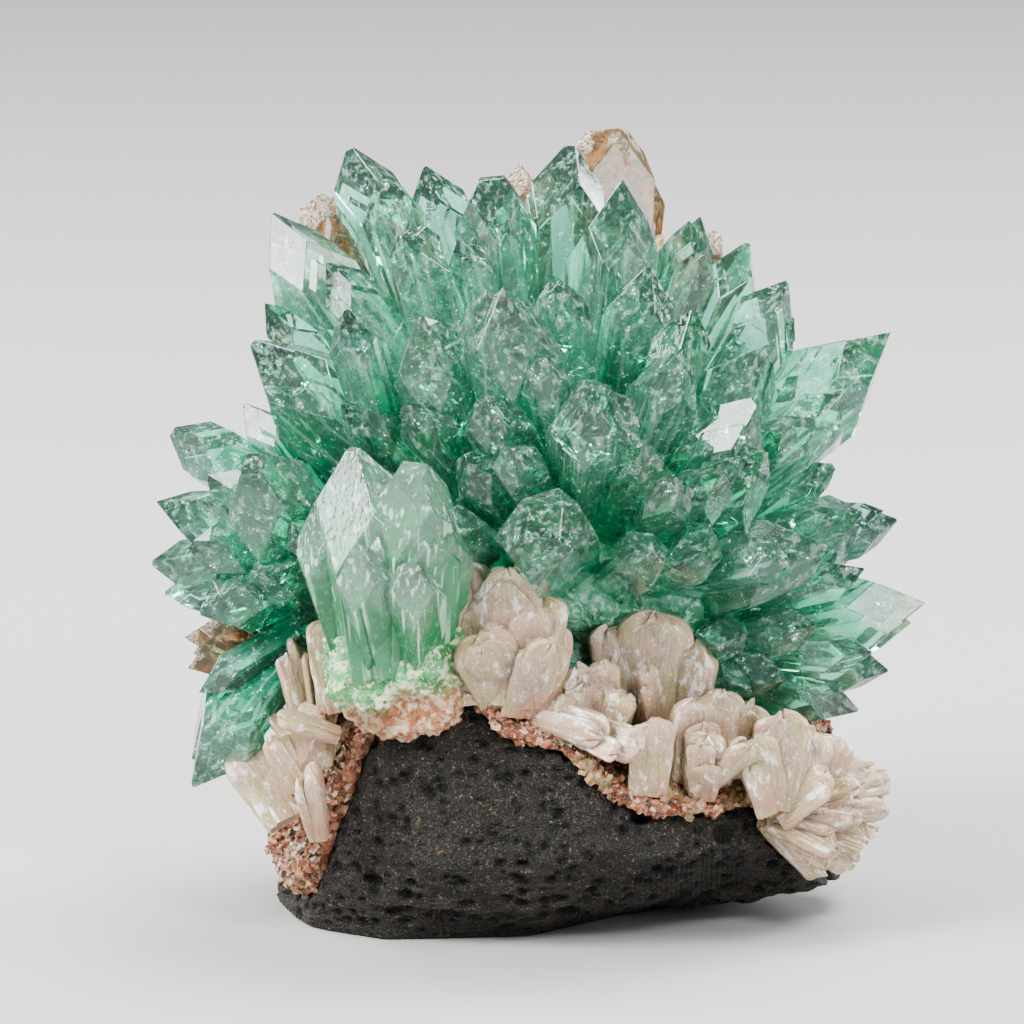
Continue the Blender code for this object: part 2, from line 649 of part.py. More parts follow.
def filler_crystals(taken, root, first_seed):
    """Small crystals at evenly spread directions of the shown side that no larger crystal takes."""
    chance = random.Random(first_seed)
    start = seen(*root)
    directions = [(crystal.tip - start).normalized() for crystal in taken]
    found = []
    for number in range(FILLER_COUNT):
        direction = spiral_direction(number, FILLER_COUNT)
        hidden = direction.y > FILLER_BEHIND
        too_low = direction.z < FILLER_LOWEST
        crowded = any(direction.angle(other) < FILLER_ROOM for other in directions)
        reach = chance.uniform(*FILLER_REACH)
        width = chance.uniform(*FILLER_WIDTH)
        spin = chance.uniform(0.0, 90.0)
        if hidden or too_low or crowded:
            continue
        tip = start + direction * reach * MM
        foot = start + direction * FILLER_FOOT * MM
        found.append(Crystal(foot, tip, width, spin, 0.0, first_seed + number))
    return found


# Stilbite

# Rows: tip as seen, foot as seen, width, thickness, spin.
STILBITE_LEFT = (
    ((-22.0, 28.8, 21.0), (-21.0, 20.0, 19.0), 3.4, 1.8, 10),
    ((-25.3, 25.4, 17.0), (-23.6, 18.0, 17.0), 3.0, 1.6, 30),
    ((-26.0, 19.4, 22.0), (-20.5, 17.6, 20.0), 2.8, 1.8, 60),
    ((-27.0, 17.8, 20.0), (-24.2, 12.4, 19.0), 3.0, 1.8, 20),
    ((-30.4, 16.0, 14.0), (-25.6, 9.0, 17.0), 4.6, 2.2, 15),
    ((-24.6, 27.0, 14.5), (-22.6, 19.0, 16.0), 3.2, 1.8, 70),
    ((-27.6, 22.0, 12.0), (-24.0, 15.0, 15.0), 4.0, 2.0, 40),
    ((-23.0, 14.6, 24.5), (-22.0, 8.0, 20.0), 3.4, 2.4, 80),
)
STILBITE_CENTRE = (
    ((-8.0, 34.6, 27.5), (-6.6, 21.0, 24.0), 5.6, 3.0, 8),
    ((-3.8, 33.6, 28.5), (-3.6, 21.0, 24.0), 6.8, 3.2, -6),
    ((-0.2, 30.9, 27.5), (-1.2, 21.0, 23.0), 5.2, 3.0, 14),
    ((-6.4, 27.4, 30.0), (-4.0, 21.0, 23.0), 6.4, 2.6, 4),
    ((0.4, 26.4, 28.5), (-2.5, 20.0, 23.0), 4.6, 2.4, 24),
    ((5.6, 17.6, 26.0), (-1.5, 20.6, 22.0), 4.0, 2.2, 20),
    ((9.0, 16.4, 25.5), (1.5, 19.6, 21.0), 3.8, 2.2, -10),
)
STILBITE_RIGHT = (
    ((1.9, 21.8, 25.0), (4.6, 16.6, 21.0), 3.4, 1.8, 10),
    ((3.2, 24.2, 24.6), (4.8, 16.6, 21.0), 3.6, 1.8, 25),
    ((5.6, 24.8, 24.6), (5.2, 16.6, 20.0), 3.6, 1.8, 0),
    ((7.6, 21.8, 25.0), (6.0, 16.0, 20.0), 3.4, 1.8, -20),
    ((6.2, 28.2, 20.0), (7.6, 19.0, 18.0), 4.4, 2.4, 15),
    ((10.8, 29.2, 20.0), (10.0, 18.0, 17.0), 7.6, 3.2, 5),
    ((14.8, 26.8, 19.0), (12.6, 18.0, 16.0), 6.0, 2.8, -20),
    ((10.0, 24.2, 22.6), (10.2, 18.0, 19.0), 2.4, 2.0, 40),
    ((10.6, 19.2, 26.0), (10.0, 12.0, 22.0), 4.6, 2.2, 5),
    ((14.6, 21.0, 23.0), (14.0, 13.0, 19.0), 4.8, 2.6, 30),
    ((17.4, 22.0, 20.5), (16.4, 13.0, 17.0), 5.0, 2.6, 10),
    ((20.4, 20.8, 18.0), (18.6, 12.0, 16.0), 4.8, 2.6, -20),
    ((15.8, 17.6, 25.0), (15.2, 12.0, 20.0), 4.2, 2.2, -5),
    ((19.8, 16.8, 24.5), (15.0, 12.2, 21.0), 3.2, 2.0, 45),
    ((20.4, 17.2, 23.0), (22.4, 10.6, 19.0), 4.4, 2.2, 10),
    ((23.2, 19.8, 21.0), (22.8, 10.6, 18.0), 5.4, 2.4, 0),
    ((26.4, 18.0, 20.0), (23.4, 10.6, 17.0), 5.0, 2.2, -12),
    ((27.4, 14.4, 20.5), (23.2, 10.0, 17.0), 4.4, 2.2, -25),
    ((29.2, 17.2, 14.5), (25.6, 11.0, 14.0), 4.2, 2.8, 20),
)
SHEAF_FOOT = (21.5, 9.6, 15.0)
SHEAF_TIPS = (
    (31.9, 14.2, 12.0), (33.4, 12.4, 9.0), (33.4, 10.6, 13.5), (32.6, 8.8, 9.5), (31.4, 6.8, 13.0),
    (30.2, 5.0, 10.0), (27.6, 4.2, 14.0), (30.6, 12.6, 16.0), (30.8, 9.6, 17.0), (28.6, 6.4, 17.5),
)
SHEAF_BLADE = (3.6, 2.6)
SHEAF_TURN = 35.0
SHEAF_POINT = 0.5
SHEAF_TAPER = 0.45
# Three clumps of blades on the hidden rim: angle around the matrix, number of blades.
BACK_CLUMPS = ((math.radians(25.0), 6), (math.radians(95.0), 7), (math.radians(160.0), 6))
CLUMP_CORE = (5.5, 5.0, 3.0)
CLUMP_INSET = 4.5
CLUMP_LIFT = 2.6
CLUMP_SPREAD = math.radians(34.0)
CLUMP_SPACING = 2.2
CLUMP_DEPTH = 1.5
CLUMP_LEAN = (0.2, 1.2)
CLUMP_LENGTH = (7.5, 10.0)
CLUMP_WIDTH = (4.4, 6.4)
CLUMP_FLATNESS = 0.45
CLUMP_ROLL = 35.0


def blades_of(rows):
    """The blades of a table."""
    return [Blade(seen(*foot), seen(*tip), width, thick, spin) for tip, foot, width, thick, spin in rows]


def sheaf_blades():
    """The blades of the sheaf at the right end, all from one foot."""
    blades = []
    for number, tip in enumerate(SHEAF_TIPS):
        spin = SHEAF_TURN * number
        blades.append(Blade(seen(*SHEAF_FOOT), seen(*tip), *SHEAF_BLADE, spin, SHEAF_POINT, SHEAF_TAPER))
    return blades


def clump_place(angle):
    """Where a clump on the hidden rim sits, in millimetres."""
    edge = waist_point(angle, CLUMP_INSET)
    return Vector((edge.x, edge.y, rim_height(angle, edge) + CLUMP_LIFT))


def clump_blades(angle, count, seed):
    """Blades that lean out over the hidden rim from one clump."""
    chance = random.Random(seed)
    start = clump_place(angle)
    blades = []
    for number in range(count):
        turn = angle + CLUMP_SPREAD * (2.0 * number / (count - 1) - 1.0)
        outward = Vector((math.cos(turn), math.sin(turn), 0.0))
        along = Vector((-math.sin(angle), math.cos(angle), 0.0))
        foot = start + along * CLUMP_SPACING * (number - (count - 1) / 2.0) - outward * CLUMP_DEPTH
        lean = chance.uniform(*CLUMP_LEAN)
        tip = foot + (outward + Vector((0.0, 0.0, lean))).normalized() * chance.uniform(*CLUMP_LENGTH)
        width = chance.uniform(*CLUMP_WIDTH)
        roll = chance.uniform(-CLUMP_ROLL, CLUMP_ROLL)
        blades.append(Blade(foot * MM, tip * MM, width, CLUMP_FLATNESS * width, roll))
    return blades


# Materials

APOPHYLLITE_IOR = 1.535


def plain_material(name, color, roughness, transmission=0.0):
    """A Principled material with the piece's own colour and gloss."""
    material = bpy.data.materials.new(name)
    material.use_nodes = True
    shader = material.node_tree.nodes["Principled BSDF"]
    shader.inputs["Base Color"].default_value = (*color, 1.0)
    shader.inputs["Roughness"].default_value = roughness
    shader.inputs["Metallic"].default_value = 0.0
    shader.inputs["Transmission Weight"].default_value = transmission
    shader.inputs["IOR"].default_value = APOPHYLLITE_IOR
    material.diffuse_color = (*color, 1.0)
    return material


def clear_scene():
    """Remove what a new file holds."""
    for thing in list(bpy.data.objects):
        bpy.data.objects.remove(thing)


class Growth:
    """A group that grew from one place: a rough core and the crystals or blades that stand on it."""

    def __init__(self, name, material, middle, radii, seed, pieces):
        self.name = name
        self.material = material
        self.middle = Vector(middle)
        self.radii = radii
        self.seed = seed
        self.pieces = pieces

    def core(self, grow=0.0):
        """Mesh of the mass that the pieces grow out of."""
        return lump_mesh(self.middle, self.radii, self.seed, grow)

    def larger_shapes(self):
        """Slightly larger copies of the core and the pieces, to cut the neighbours with."""
        return [self.core(NODE_GAP)] + [piece.mesh(NODE_GAP) for piece in self.pieces]


def surface_tree(mesh):
    """Search tree over a mesh's faces."""
    bm = bmesh.new()
    bm.from_mesh(mesh)
    tree = BVHTree.FromBMesh(bm)
    bm.free()
    return tree


def those_that_touch(mesh, others):
    """The meshes whose surface crosses the surface of this one."""
    tree = surface_tree(mesh)
    return [other for other in others if tree.overlap(surface_tree(other))]


def add_growths(growths):
    """Make each growth one solid on the bed, cut back from the growths before it."""
    for number, growth in enumerate(growths):
        pieces = [piece.mesh() for piece in growth.pieces]
        joined = boolean_mesh(growth.name, growth.core(), "UNION", pieces)
        joined = largest_body(joined)
        cutters = [bed_mesh()]
        for earlier in growths[:number]:
            cutters += earlier.larger_shapes()
        cut = boolean_mesh(growth.name, joined, "DIFFERENCE", those_that_touch(joined, cutters))
        add_node(growth.name, largest_body(cut), growth.material)


# The bed that cuts off what grew on the crust stands proud of the basalt and the crust by these distances.
BED_BOTTOM = -2.0
BED_SOLE_OUT = 0.6
BED_WAIST_OUT = 0.5
BED_LIP_OUT = 0.7
BED_RIM_OUT = 0.5
BED_WAIST_SHARE = 0.6
BED_GAP = 1.6 * NODE_GAP
BED_POLE_RISE = 0.6
CRUST_POLE_GAP = 0.4


def bed_mesh():
    """The basalt and its crust as one body, a gap larger, to cut off what stands on them."""
    rings = [[] for _ in range(4 + len(TOP_SHARES))]
    for angle in ring_of_angles():
        low = sole_point(angle)
        wide = waist_point(angle)
        top = waist_point(angle, RIM_INSET)
        height = rim_height(angle, top)
        outward = (top - Vector(MATRIX_MIDDLE)).normalized()
        thick = crust_thickness(angle)
        places = (
            (low + outward * BED_SOLE_OUT, BED_BOTTOM),
            (wide + outward * BED_WAIST_OUT, BED_WAIST_SHARE * min(WAIST_HEIGHT, WAIST_SHARE * height)),
            (top + outward * (0.5 * thick + BED_LIP_OUT), height + 0.5 * thick),
            (top + outward * BED_RIM_OUT, height + thick + BED_GAP),
        )
        for ring, (place, level) in zip(rings, places):
            ring.append(Vector((place.x, place.y, level)))
        for ring, share in zip(rings[4:], TOP_SHARES):
            ring.append(dome_point(top, share, height, thick + BED_GAP))
    middle = MATRIX_MIDDLE
    top = DOME_HEIGHT + CRUST_THICKNESS + BED_POLE_RISE
    return ringed_mesh("bed", rings, (*middle, BED_BOTTOM), (*middle, top))


def add_matrix(basalt, crust):
    """The basalt and the crust on it."""
    middle = MATRIX_MIDDLE
    basalt_mesh = ringed_mesh("basalt", matrix_rings(), (*middle, 0.0), (*middle, DOME_HEIGHT))
    add_node("basalt_matrix", basalt_mesh, basalt)
    under = (*middle, DOME_HEIGHT + CRUST_POLE_GAP)
    over = (*middle, DOME_HEIGHT + CRUST_THICKNESS)
    crust_mesh = ringed_mesh("crust", crust_rings(), under, over)
    add_node("druse_crust", crust_mesh, crust)


def main_spray_crystals():
    """The crystals of the big spray: those of the table, those behind it and the small ones between."""
    crystals = crystals_of(MAIN_CRYSTALS, MAIN_ROOT, 100)
    crystals += hidden_crystals(crystals, MAIN_ROOT, 500)
    return crystals + filler_crystals(crystals, MAIN_ROOT, 900)


def build():
    """Model the whole cluster."""
    clear_scene()
    part = bpy.data.collections.new(COLLECTION_NAME)
    bpy.context.scene.collection.children.link(part)
    basalt = plain_material("basalt", (0.022, 0.020, 0.018), 0.8)
    crust = plain_material("salmon crust", (0.36, 0.15, 0.09), 0.7)
    pale = plain_material("cream stilbite", (0.62, 0.54, 0.44), 0.35)
    green = plain_material("green apophyllite", (0.30, 0.72, 0.50), 0.08, 0.85)
    brown = plain_material("iron stained apophyllite", (0.40, 0.24, 0.13), 0.3, 0.5)
    clear = plain_material("clear splinter", (0.90, 0.92, 0.88), 0.1, 0.8)

    add_matrix(basalt, crust)
    growths = [
        Growth("apophyllite_main_spray", green, seen(*MAIN_ROOT), (14.0, 14.0, 12.0), 1.0,
               main_spray_crystals()),
        Growth("apophyllite_left_spray", green, seen(*LEFT_ROOT), (6.5, 6.0, 6.0), 2.0,
               crystals_of(LEFT_CRYSTALS, LEFT_ROOT, 200)),
        Growth("apophyllite_lower_right_spray", green, seen(*LOWER_RIGHT_ROOT), (6.0, 6.0, 5.0), 3.0,
               crystals_of(LOWER_RIGHT_CRYSTALS, LOWER_RIGHT_ROOT, 270)),
        Growth("apophyllite_lower_left", green, seen(*LOWER_LEFT_ROOT), (4.0, 4.0, 4.0), 4.0,
               crystals_of(LOWER_LEFT_CRYSTALS, LOWER_LEFT_ROOT, 230)),
        Growth("apophyllite_front_column", green, seen(*COLUMN_ROOT), (6.6, 4.2, 4.6), 5.0,
               crystals_of(COLUMN_CRYSTALS, COLUMN_ROOT, 250, COLUMN_TAPER)),
        Growth("stilbite_centre", pale, seen(-3.6, 24.0, 22.0), (5.5, 3.6, 4.5), 7.0,
               blades_of(STILBITE_CENTRE)),
        Growth("stilbite_right", pale, seen(14.0, 15.0, 18.0), (9.0, 4.0, 3.6), 8.0,
               blades_of(STILBITE_RIGHT)),
        Growth("stilbite_sheaf", pale, seen(*SHEAF_FOOT), (3.0, 3.0, 2.6), 9.0, sheaf_blades()),
        Growth("stilbite_left", pale, seen(-23.0, 17.0, 17.0), (3.5, 4.0, 4.5), 6.0,
               blades_of(STILBITE_LEFT)),
        Growth("brown_crystals_top", brown, seen(7.0, 58.0, 4.0), (2.5, 2.5, 3.5), 10.0,
               crystals_of(BROWN_TOP_CRYSTALS, MAIN_ROOT, 300)),
        Growth("brown_crystals_right", brown, seen(9.4, 53.0, 2.0), (2.0, 2.0, 2.0), 11.0,
               crystals_of(BROWN_RIGHT_CRYSTALS, MAIN_ROOT, 310)),
        Growth("brown_crystals_middle", brown, seen(-1.6, 57.0, 1.0), (1.8, 1.8, 1.8), 12.0,
               crystals_of(BROWN_MIDDLE_CRYSTALS, MAIN_ROOT, 320)),
        Growth("brown_crystals_left", brown, seen(-13.0, 54.0, 0.5), (3.0, 2.5, 2.5), 13.0,
               crystals_of(BROWN_LEFT_CRYSTALS, MAIN_ROOT, 330)),
        Growth("stained_crystals_left", brown, seen(-27.4, 27.4, 9.0), (2.4, 2.4, 2.4), 14.0,
               crystals_of(STAINED_LEFT_CRYSTALS, LEFT_ROOT, 340)),
        Growth("white_splinter", clear, seen(26.0, 44.8, 10.0), (0.6, 0.5, 0.5), 15.0,
               crystals_of(SPLINTER, MAIN_ROOT, 350)),
    ]
    for number, (angle, count) in enumerate(BACK_CLUMPS):
        name = f"stilbite_back_{number + 1}"
        blades = clump_blades(angle, count, 70 + number)
        growths.append(Growth(name, pale, clump_place(angle) * MM, CLUMP_CORE, 20.0 + number, blades))
    add_growths(growths)


build()
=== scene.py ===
"""The looks of a cluster of green apophyllite crystals with stilbite blades on a piece of basalt.

The frame gives the solids. Here every one of them is replaced by a finely modelled piece in the same place:
glassy crystals with growth steps and inner veils, pearly blades, a grainy crust and pitted basalt.
Lengths in the tables are in millimetres and become metres through MM. Places on the shown side are three
numbers: across (to the right), up, and toward (to the viewer), square to a line of sight that looks down by
PICTURE_TILT. seen() turns them into places of the model.
"""

import json
import math
import random
from collections import namedtuple

import bmesh
import bpy
from mathutils import Matrix, Vector, noise
from mathutils.kdtree import KDTree

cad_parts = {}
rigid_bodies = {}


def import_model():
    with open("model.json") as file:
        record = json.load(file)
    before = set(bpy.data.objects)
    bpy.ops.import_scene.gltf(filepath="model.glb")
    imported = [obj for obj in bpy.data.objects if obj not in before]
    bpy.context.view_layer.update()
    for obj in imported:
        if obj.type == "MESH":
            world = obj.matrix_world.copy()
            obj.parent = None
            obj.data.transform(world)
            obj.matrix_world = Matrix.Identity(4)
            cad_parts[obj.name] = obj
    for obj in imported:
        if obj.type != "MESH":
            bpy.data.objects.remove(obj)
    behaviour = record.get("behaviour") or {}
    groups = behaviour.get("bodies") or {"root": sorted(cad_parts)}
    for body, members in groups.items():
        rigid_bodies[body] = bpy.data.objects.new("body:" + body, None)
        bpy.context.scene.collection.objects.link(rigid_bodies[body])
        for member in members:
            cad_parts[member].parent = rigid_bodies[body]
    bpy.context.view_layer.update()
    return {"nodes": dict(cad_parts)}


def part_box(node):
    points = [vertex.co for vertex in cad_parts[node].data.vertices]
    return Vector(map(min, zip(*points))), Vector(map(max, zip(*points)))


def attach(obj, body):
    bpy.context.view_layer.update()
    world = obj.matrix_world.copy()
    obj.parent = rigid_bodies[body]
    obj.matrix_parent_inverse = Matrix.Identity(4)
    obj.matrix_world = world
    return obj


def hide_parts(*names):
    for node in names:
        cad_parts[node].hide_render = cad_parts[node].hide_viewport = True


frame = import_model()

MM = 0.001
PICTURE_TILT = math.radians(12.0)
TOWARD_VIEWER = Vector((0.0, -math.cos(PICTURE_TILT), math.sin(PICTURE_TILT)))

# Apophyllite is tetragonal: a square prism under a pyramid that is turned by 45 degrees to it.
PYRAMID_SLOPE = math.radians(60.5)
PYRAMID_TURN = math.radians(45.0)
APOPHYLLITE_IOR = 1.535
# Shares of a crystal's width: its foot, how far its pyramid's faces move in, what its tip loses by that, and
# its two sides.
FOOT_TAPER = 0.62
PLANE_SKEW = 0.16
TIP_LOSS = 0.12
SIDE_RATIO = (0.86, 1.14)
CUT_NORMAL = Vector((0.06, 0.04, 1.0))
SLICE_MERGE = 1e-7
# A crystal with no foot given starts at this share of the way from the root to its tip.
FOOT_SHARE = 0.08


def seen(across, up, toward):
    """Turn a place given as it is seen into a place of the model, in metres."""
    back = up * math.sin(PICTURE_TILT) - toward * math.cos(PICTURE_TILT)
    height = up * math.cos(PICTURE_TILT) + toward * math.sin(PICTURE_TILT)
    return Vector((across, back, height)) * MM


# Crystals: tip, width, spin in degrees, share of the width that is cut off the tip, and foot. Where no foot
# is given, it lies near the root of the group.
MAIN_ROOT = (4.0, 30.6, 6.5)
MAIN_CRYSTALS = (
    ((-19.3, 75.8, 4.0), 6.8, 20, 0.30, (-3.0, 33.0, 5.0)),
    ((-16.0, 73.2, 9.5), 4.6, 50, 0.25, (-2.0, 33.0, 7.0)),
    ((-11.7, 74.0, 8.0), 5.6, 10, 0.20, (2.0, 34.0, 6.0)),
    ((-8.4, 71.6, 3.0), 2.8, 35),
    ((-7.6, 70.2, 9.0), 3.2, 5),
    ((-27.0, 69.2, 9.0), 6.4, 30, 0.30, (-6.0, 35.0, 6.0)),
    ((-27.6, 60.8, 9.0), 4.6, 10, 0.1, (-4.0, 34.0, 6.0)),
    ((-28.8, 56.6, 16.0), 8.4, 40, 0.22, (-3.0, 33.0, 8.0)),
    ((-19.4, 59.4, 30.0), 4.0, 45, 0.0, (-13.0, 37.0, 12.0)),
    ((-13.4, 67.2, 21.0), 5.6, 5, 0.50, (-5.0, 34.0, 8.0)),
    ((-8.7, 66.6, 19.0), 3.2, 20),
    ((-12.4, 58.8, 32.0), 7.0, 25, 0.15, (-4.0, 33.0, 8.0)),
    ((-4.3, 62.2, 35.5), 8.4, 45, 0.10, (-2.0, 33.0, 8.0)),
    ((-5.4, 72.6, 14.0), 5.8, 42, 0.42, (-2.0, 34.0, 7.0)),
    ((2.6, 76.7, 8.0), 7.4, 15, 0.04, (-1.0, 33.0, 6.0)),
    ((7.2, 72.8, 17.0), 6.4, 38, 0.06, (4.0, 33.0, 7.0)),
    ((1.2, 62.6, 29.0), 4.6, 10),
    ((20.2, 66.4, 7.0), 5.4, 40, 0.10),
    ((24.2, 62.4, 9.0), 6.2, 15, 0.16),
    ((24.9, 59.2, 9.0), 2.4, 0),
    ((22.2, 57.0, 18.0), 7.4, 30, 0.12, (5.0, 32.0, 7.0)),
    ((34.8, 57.6, 9.0), 7.8, 42, 0.18, (4.0, 31.0, 6.0)),
    ((30.4, 51.6, 16.0), 5.6, 10, 0.08),
    ((28.8, 44.2, 15.0), 3.2, 30),
    ((5.2, 51.8, 40.0), 6.4, 40, 0.06, (3.0, 31.0, 8.0)),
    ((20.8, 51.0, 26.0), 7.2, 20, 0.06),
    ((22.0, 45.6, 27.0), 7.0, 42, 0.06),
    ((27.6, 37.2, 23.0), 8.8, 12, 0.10, (5.0, 30.0, 7.0)),
    ((-0.4, 38.4, 39.0), 7.2, 20, 0.50, (2.0, 31.0, 8.0)),
    ((10.4, 36.0, 36.0), 4.2, 30, 0.0, (4.0, 31.0, 8.0)),
    ((10.6, 64.0, 22.0), 5.6, 25),
    ((14.6, 60.0, 22.0), 5.8, 5, 0.05),
    ((13.4, 55.6, 30.0), 5.4, 40),
    ((15.6, 69.4, 9.0), 5.0, 30),
    ((9.8, 46.4, 36.0), 4.6, 12),
    ((13.0, 43.0, 34.0), 4.2, 35),
    ((-6.0, 51.0, 35.0), 4.8, 20),
    ((-1.0, 55.0, 35.0), 4.6, 50),
    ((-14.0, 50.4, 31.0), 4.8, 10),
    ((-20.5, 50.6, 25.0), 4.8, 44),
    ((-8.0, 45.0, 34.0), 4.6, 30),
    ((-3.8, 46.0, 37.5), 4.2, 10),
    ((-22.0, 64.4, 18.0), 5.0, 12),
    ((28.0, 53.8, 9.0), 4.6, 25),
    ((17.0, 37.0, 31.0), 4.6, 40),
)

LEFT_ROOT = (-20.5, 34.0, 9.0)
LEFT_CRYSTALS = (
    ((-37.8, 48.0, 9.0), 6.2, 10, 0.12, (-20.0, 38.0, 8.0)),
    ((-38.8, 40.6, 13.0), 5.8, 35, 0.10),
    ((-29.0, 44.6, 27.0), 9.0, 12, 0.40, (-22.5, 31.0, 12.0)),
    ((-39.6, 34.4, 10.0), 5.6, 20, 0.06),
    ((-38.0, 31.4, 7.0), 3.8, 40),
    ((-34.6, 29.8, 19.0), 6.0, 25, 0.05),
    ((-30.6, 51.2, 9.0), 5.4, 40, 0.0, (-20.5, 38.0, 8.0)),
    ((-33.6, 43.0, 21.0), 5.0, 5),
    ((-28.0, 33.6, 26.0), 5.8, 30),
    ((-35.4, 36.4, 20.0), 4.8, 12),
    ((-33.6, 40.0, 3.0), 5.4, 30),
    ((-24.6, 38.6, 28.0), 4.6, 15),
    ((-30.6, 30.0, -2.0), 5.4, 10),
)

LOWER_LEFT_ROOT = (-22.5, 27.5, 11.0)
LOWER_LEFT_CRYSTALS = (
    ((-34.6, 21.6, 14.0), 3.0, 40, 0.0, (-20.5, 30.0, 14.0)),
    ((-35.8, 11.4, 13.0), 7.6, 42, 0.10, (-23.0, 28.0, 10.0)),
    ((-28.6, 13.6, 14.0), 4.6, 20, 0.0, (-22.5, 27.0, 11.0)),
    ((-33.0, 20.0, 7.0), 5.0, 10),
)

COLUMN_ROOT = (-14.6, 25.0, 22.5)
COLUMN_TAPER = 0.84
COLUMN_CRYSTALS = (
    ((-19.0, 45.6, 33.0), 8.0, 12, 0.18, (-16.4, 25.0, 24.0)),
    ((-13.0, 43.8, 33.5), 7.8, 30, 0.45, (-13.6, 25.0, 24.0)),
    ((-22.4, 41.2, 30.5), 5.4, 5, 0.1, (-18.0, 26.0, 23.0)),
    ((-10.2, 41.4, 33.5), 5.4, 40, 0.15, (-11.8, 26.0, 24.0)),
    ((-18.6, 37.0, 36.0), 5.4, 20, 0.0, (-16.0, 25.0, 25.0)),
    ((-13.4, 35.4, 36.5), 5.2, 45, 0.0, (-13.0, 25.0, 25.0)),
)

LOWER_RIGHT_ROOT = (11.0, 26.0, 9.0)
LOWER_RIGHT_CRYSTALS = (
    ((31.8, 39.4, 9.0), 4.6, 20, 0.05),
    ((31.8, 34.2, 12.0), 3.8, 40),
    ((38.2, 30.8, 9.0), 6.4, 38, 0.05, (14.0, 26.4, 9.0)),
    ((32.4, 25.4, 12.0), 3.6, 10),
    ((34.0, 23.8, 9.0), 4.2, 30),
    ((31.2, 19.8, 8.0), 4.8, 42, 0.05),
    ((27.0, 28.4, 19.0), 4.4, 15),
    ((24.0, 23.2, 18.0), 4.0, 30),
    ((20.4, 21.6, 19.0), 3.8, 5),
    ((19.6, 27.6, 22.0), 3.8, 25),
)

# Iron stained crystals that show behind the main spray.
BROWN_GROUPS = {
    "top": (
        ((6.4, 77.6, 1.0), 7.0, 25, 0.55, (7.0, 55.0, 4.0)),
        ((3.6, 76.0, -3.0), 4.6, 10, 0.6, (6.0, 55.0, 2.0)),
        ((9.0, 74.6, -1.0), 4.4, 40, 0.5, (8.0, 55.0, 3.0)),
    ),
    "right": (
        ((17.0, 67.6, 3.0), 4.8, 40, 0.35, (9.0, 52.0, 3.0)),
        ((14.0, 65.6, 0.0), 3.6, 10, 0.2, (8.0, 52.0, 1.0)),
    ),
    "middle": (
        ((-2.6, 74.6, 0.0), 3.4, 20, 0.05, (-1.0, 56.0, 2.0)),
        ((-4.8, 71.0, -2.0), 3.2, 35, 0.1, (-2.0, 56.0, 0.0)),
    ),
    "left": (
        ((-23.6, 70.6, 0.0), 5.4, 15, 0.5, (-13.0, 54.0, 1.0)),
        ((-27.0, 65.4, 1.0), 4.6, 40, 0.4, (-15.0, 52.0, 1.0)),
        ((-20.6, 70.2, -3.0), 4.4, 5, 0.3, (-11.0, 54.0, -1.0)),
    ),
}
STAINED_LEFT_CRYSTALS = (
    ((-35.6, 24.2, 11.0), 4.2, 30, 0.1, (-27.0, 27.0, 9.0)),
    ((-34.2, 28.2, 11.0), 3.6, 10, 0.0, (-27.0, 28.0, 9.0)),
    ((-36.0, 27.0, 7.0), 3.4, 45, 0.2, (-27.0, 27.0, 8.0)),
)
SPLINTER = (
    ((29.7, 47.6, 10.0), 1.5, 20, 0.1, (25.4, 44.4, 10.0)),
)

# Crystals over the back of the main spray, chosen from this many directions that are spread evenly.
HIDDEN_COUNT = 70
HIDDEN_REACH = (35.0, 41.0)
HIDDEN_WIDTH = (5.2, 7.6)
HIDDEN_CUTS = (0.0, 0.1, 0.3)
HIDDEN_DEPTHS = (0.3, 1.0)
HIDDEN_LOWEST = -0.25
HIDDEN_ROOM = math.radians(15.0)
HIDDEN_FOOT = 3.0
# Those that point sideways are shorter by up to this share, so that they stay behind the shown outline.
HIDDEN_SHORTER = 0.2
GOLDEN_TURN = math.pi * (3.0 - math.sqrt(5.0))

# Small crystals in the gaps of the shown side.
FILLER_COUNT = 150
FILLER_REACH = (27.0, 33.0)
FILLER_WIDTH = (3.6, 4.8)
FILLER_ROOM = math.radians(10.0)
FILLER_DEPTHS = (-1.0, 0.35)
FILLER_LOWEST = 0.2
FILLER_FOOT = 4.0

# Blades: tip, foot, width, thickness and spin in degrees.
STILBITE_LEFT = (
    ((-22.0, 28.8, 21.0), (-21.0, 20.0, 19.0), 3.4, 1.8, 10),
    ((-25.3, 25.4, 17.0), (-23.6, 18.0, 17.0), 3.0, 1.6, 30),
    ((-26.0, 19.4, 22.0), (-20.5, 17.6, 20.0), 2.8, 1.8, 60),
    ((-27.0, 17.8, 20.0), (-24.2, 12.4, 19.0), 3.0, 1.8, 20),
    ((-30.4, 16.0, 14.0), (-25.6, 9.0, 17.0), 4.6, 2.2, 15),
    ((-24.6, 27.0, 14.5), (-22.6, 19.0, 16.0), 3.2, 1.8, 70),
    ((-27.6, 22.0, 12.0), (-24.0, 15.0, 15.0), 4.0, 2.0, 40),
    ((-23.0, 14.6, 24.5), (-22.0, 8.0, 20.0), 3.4, 2.4, 80),
)
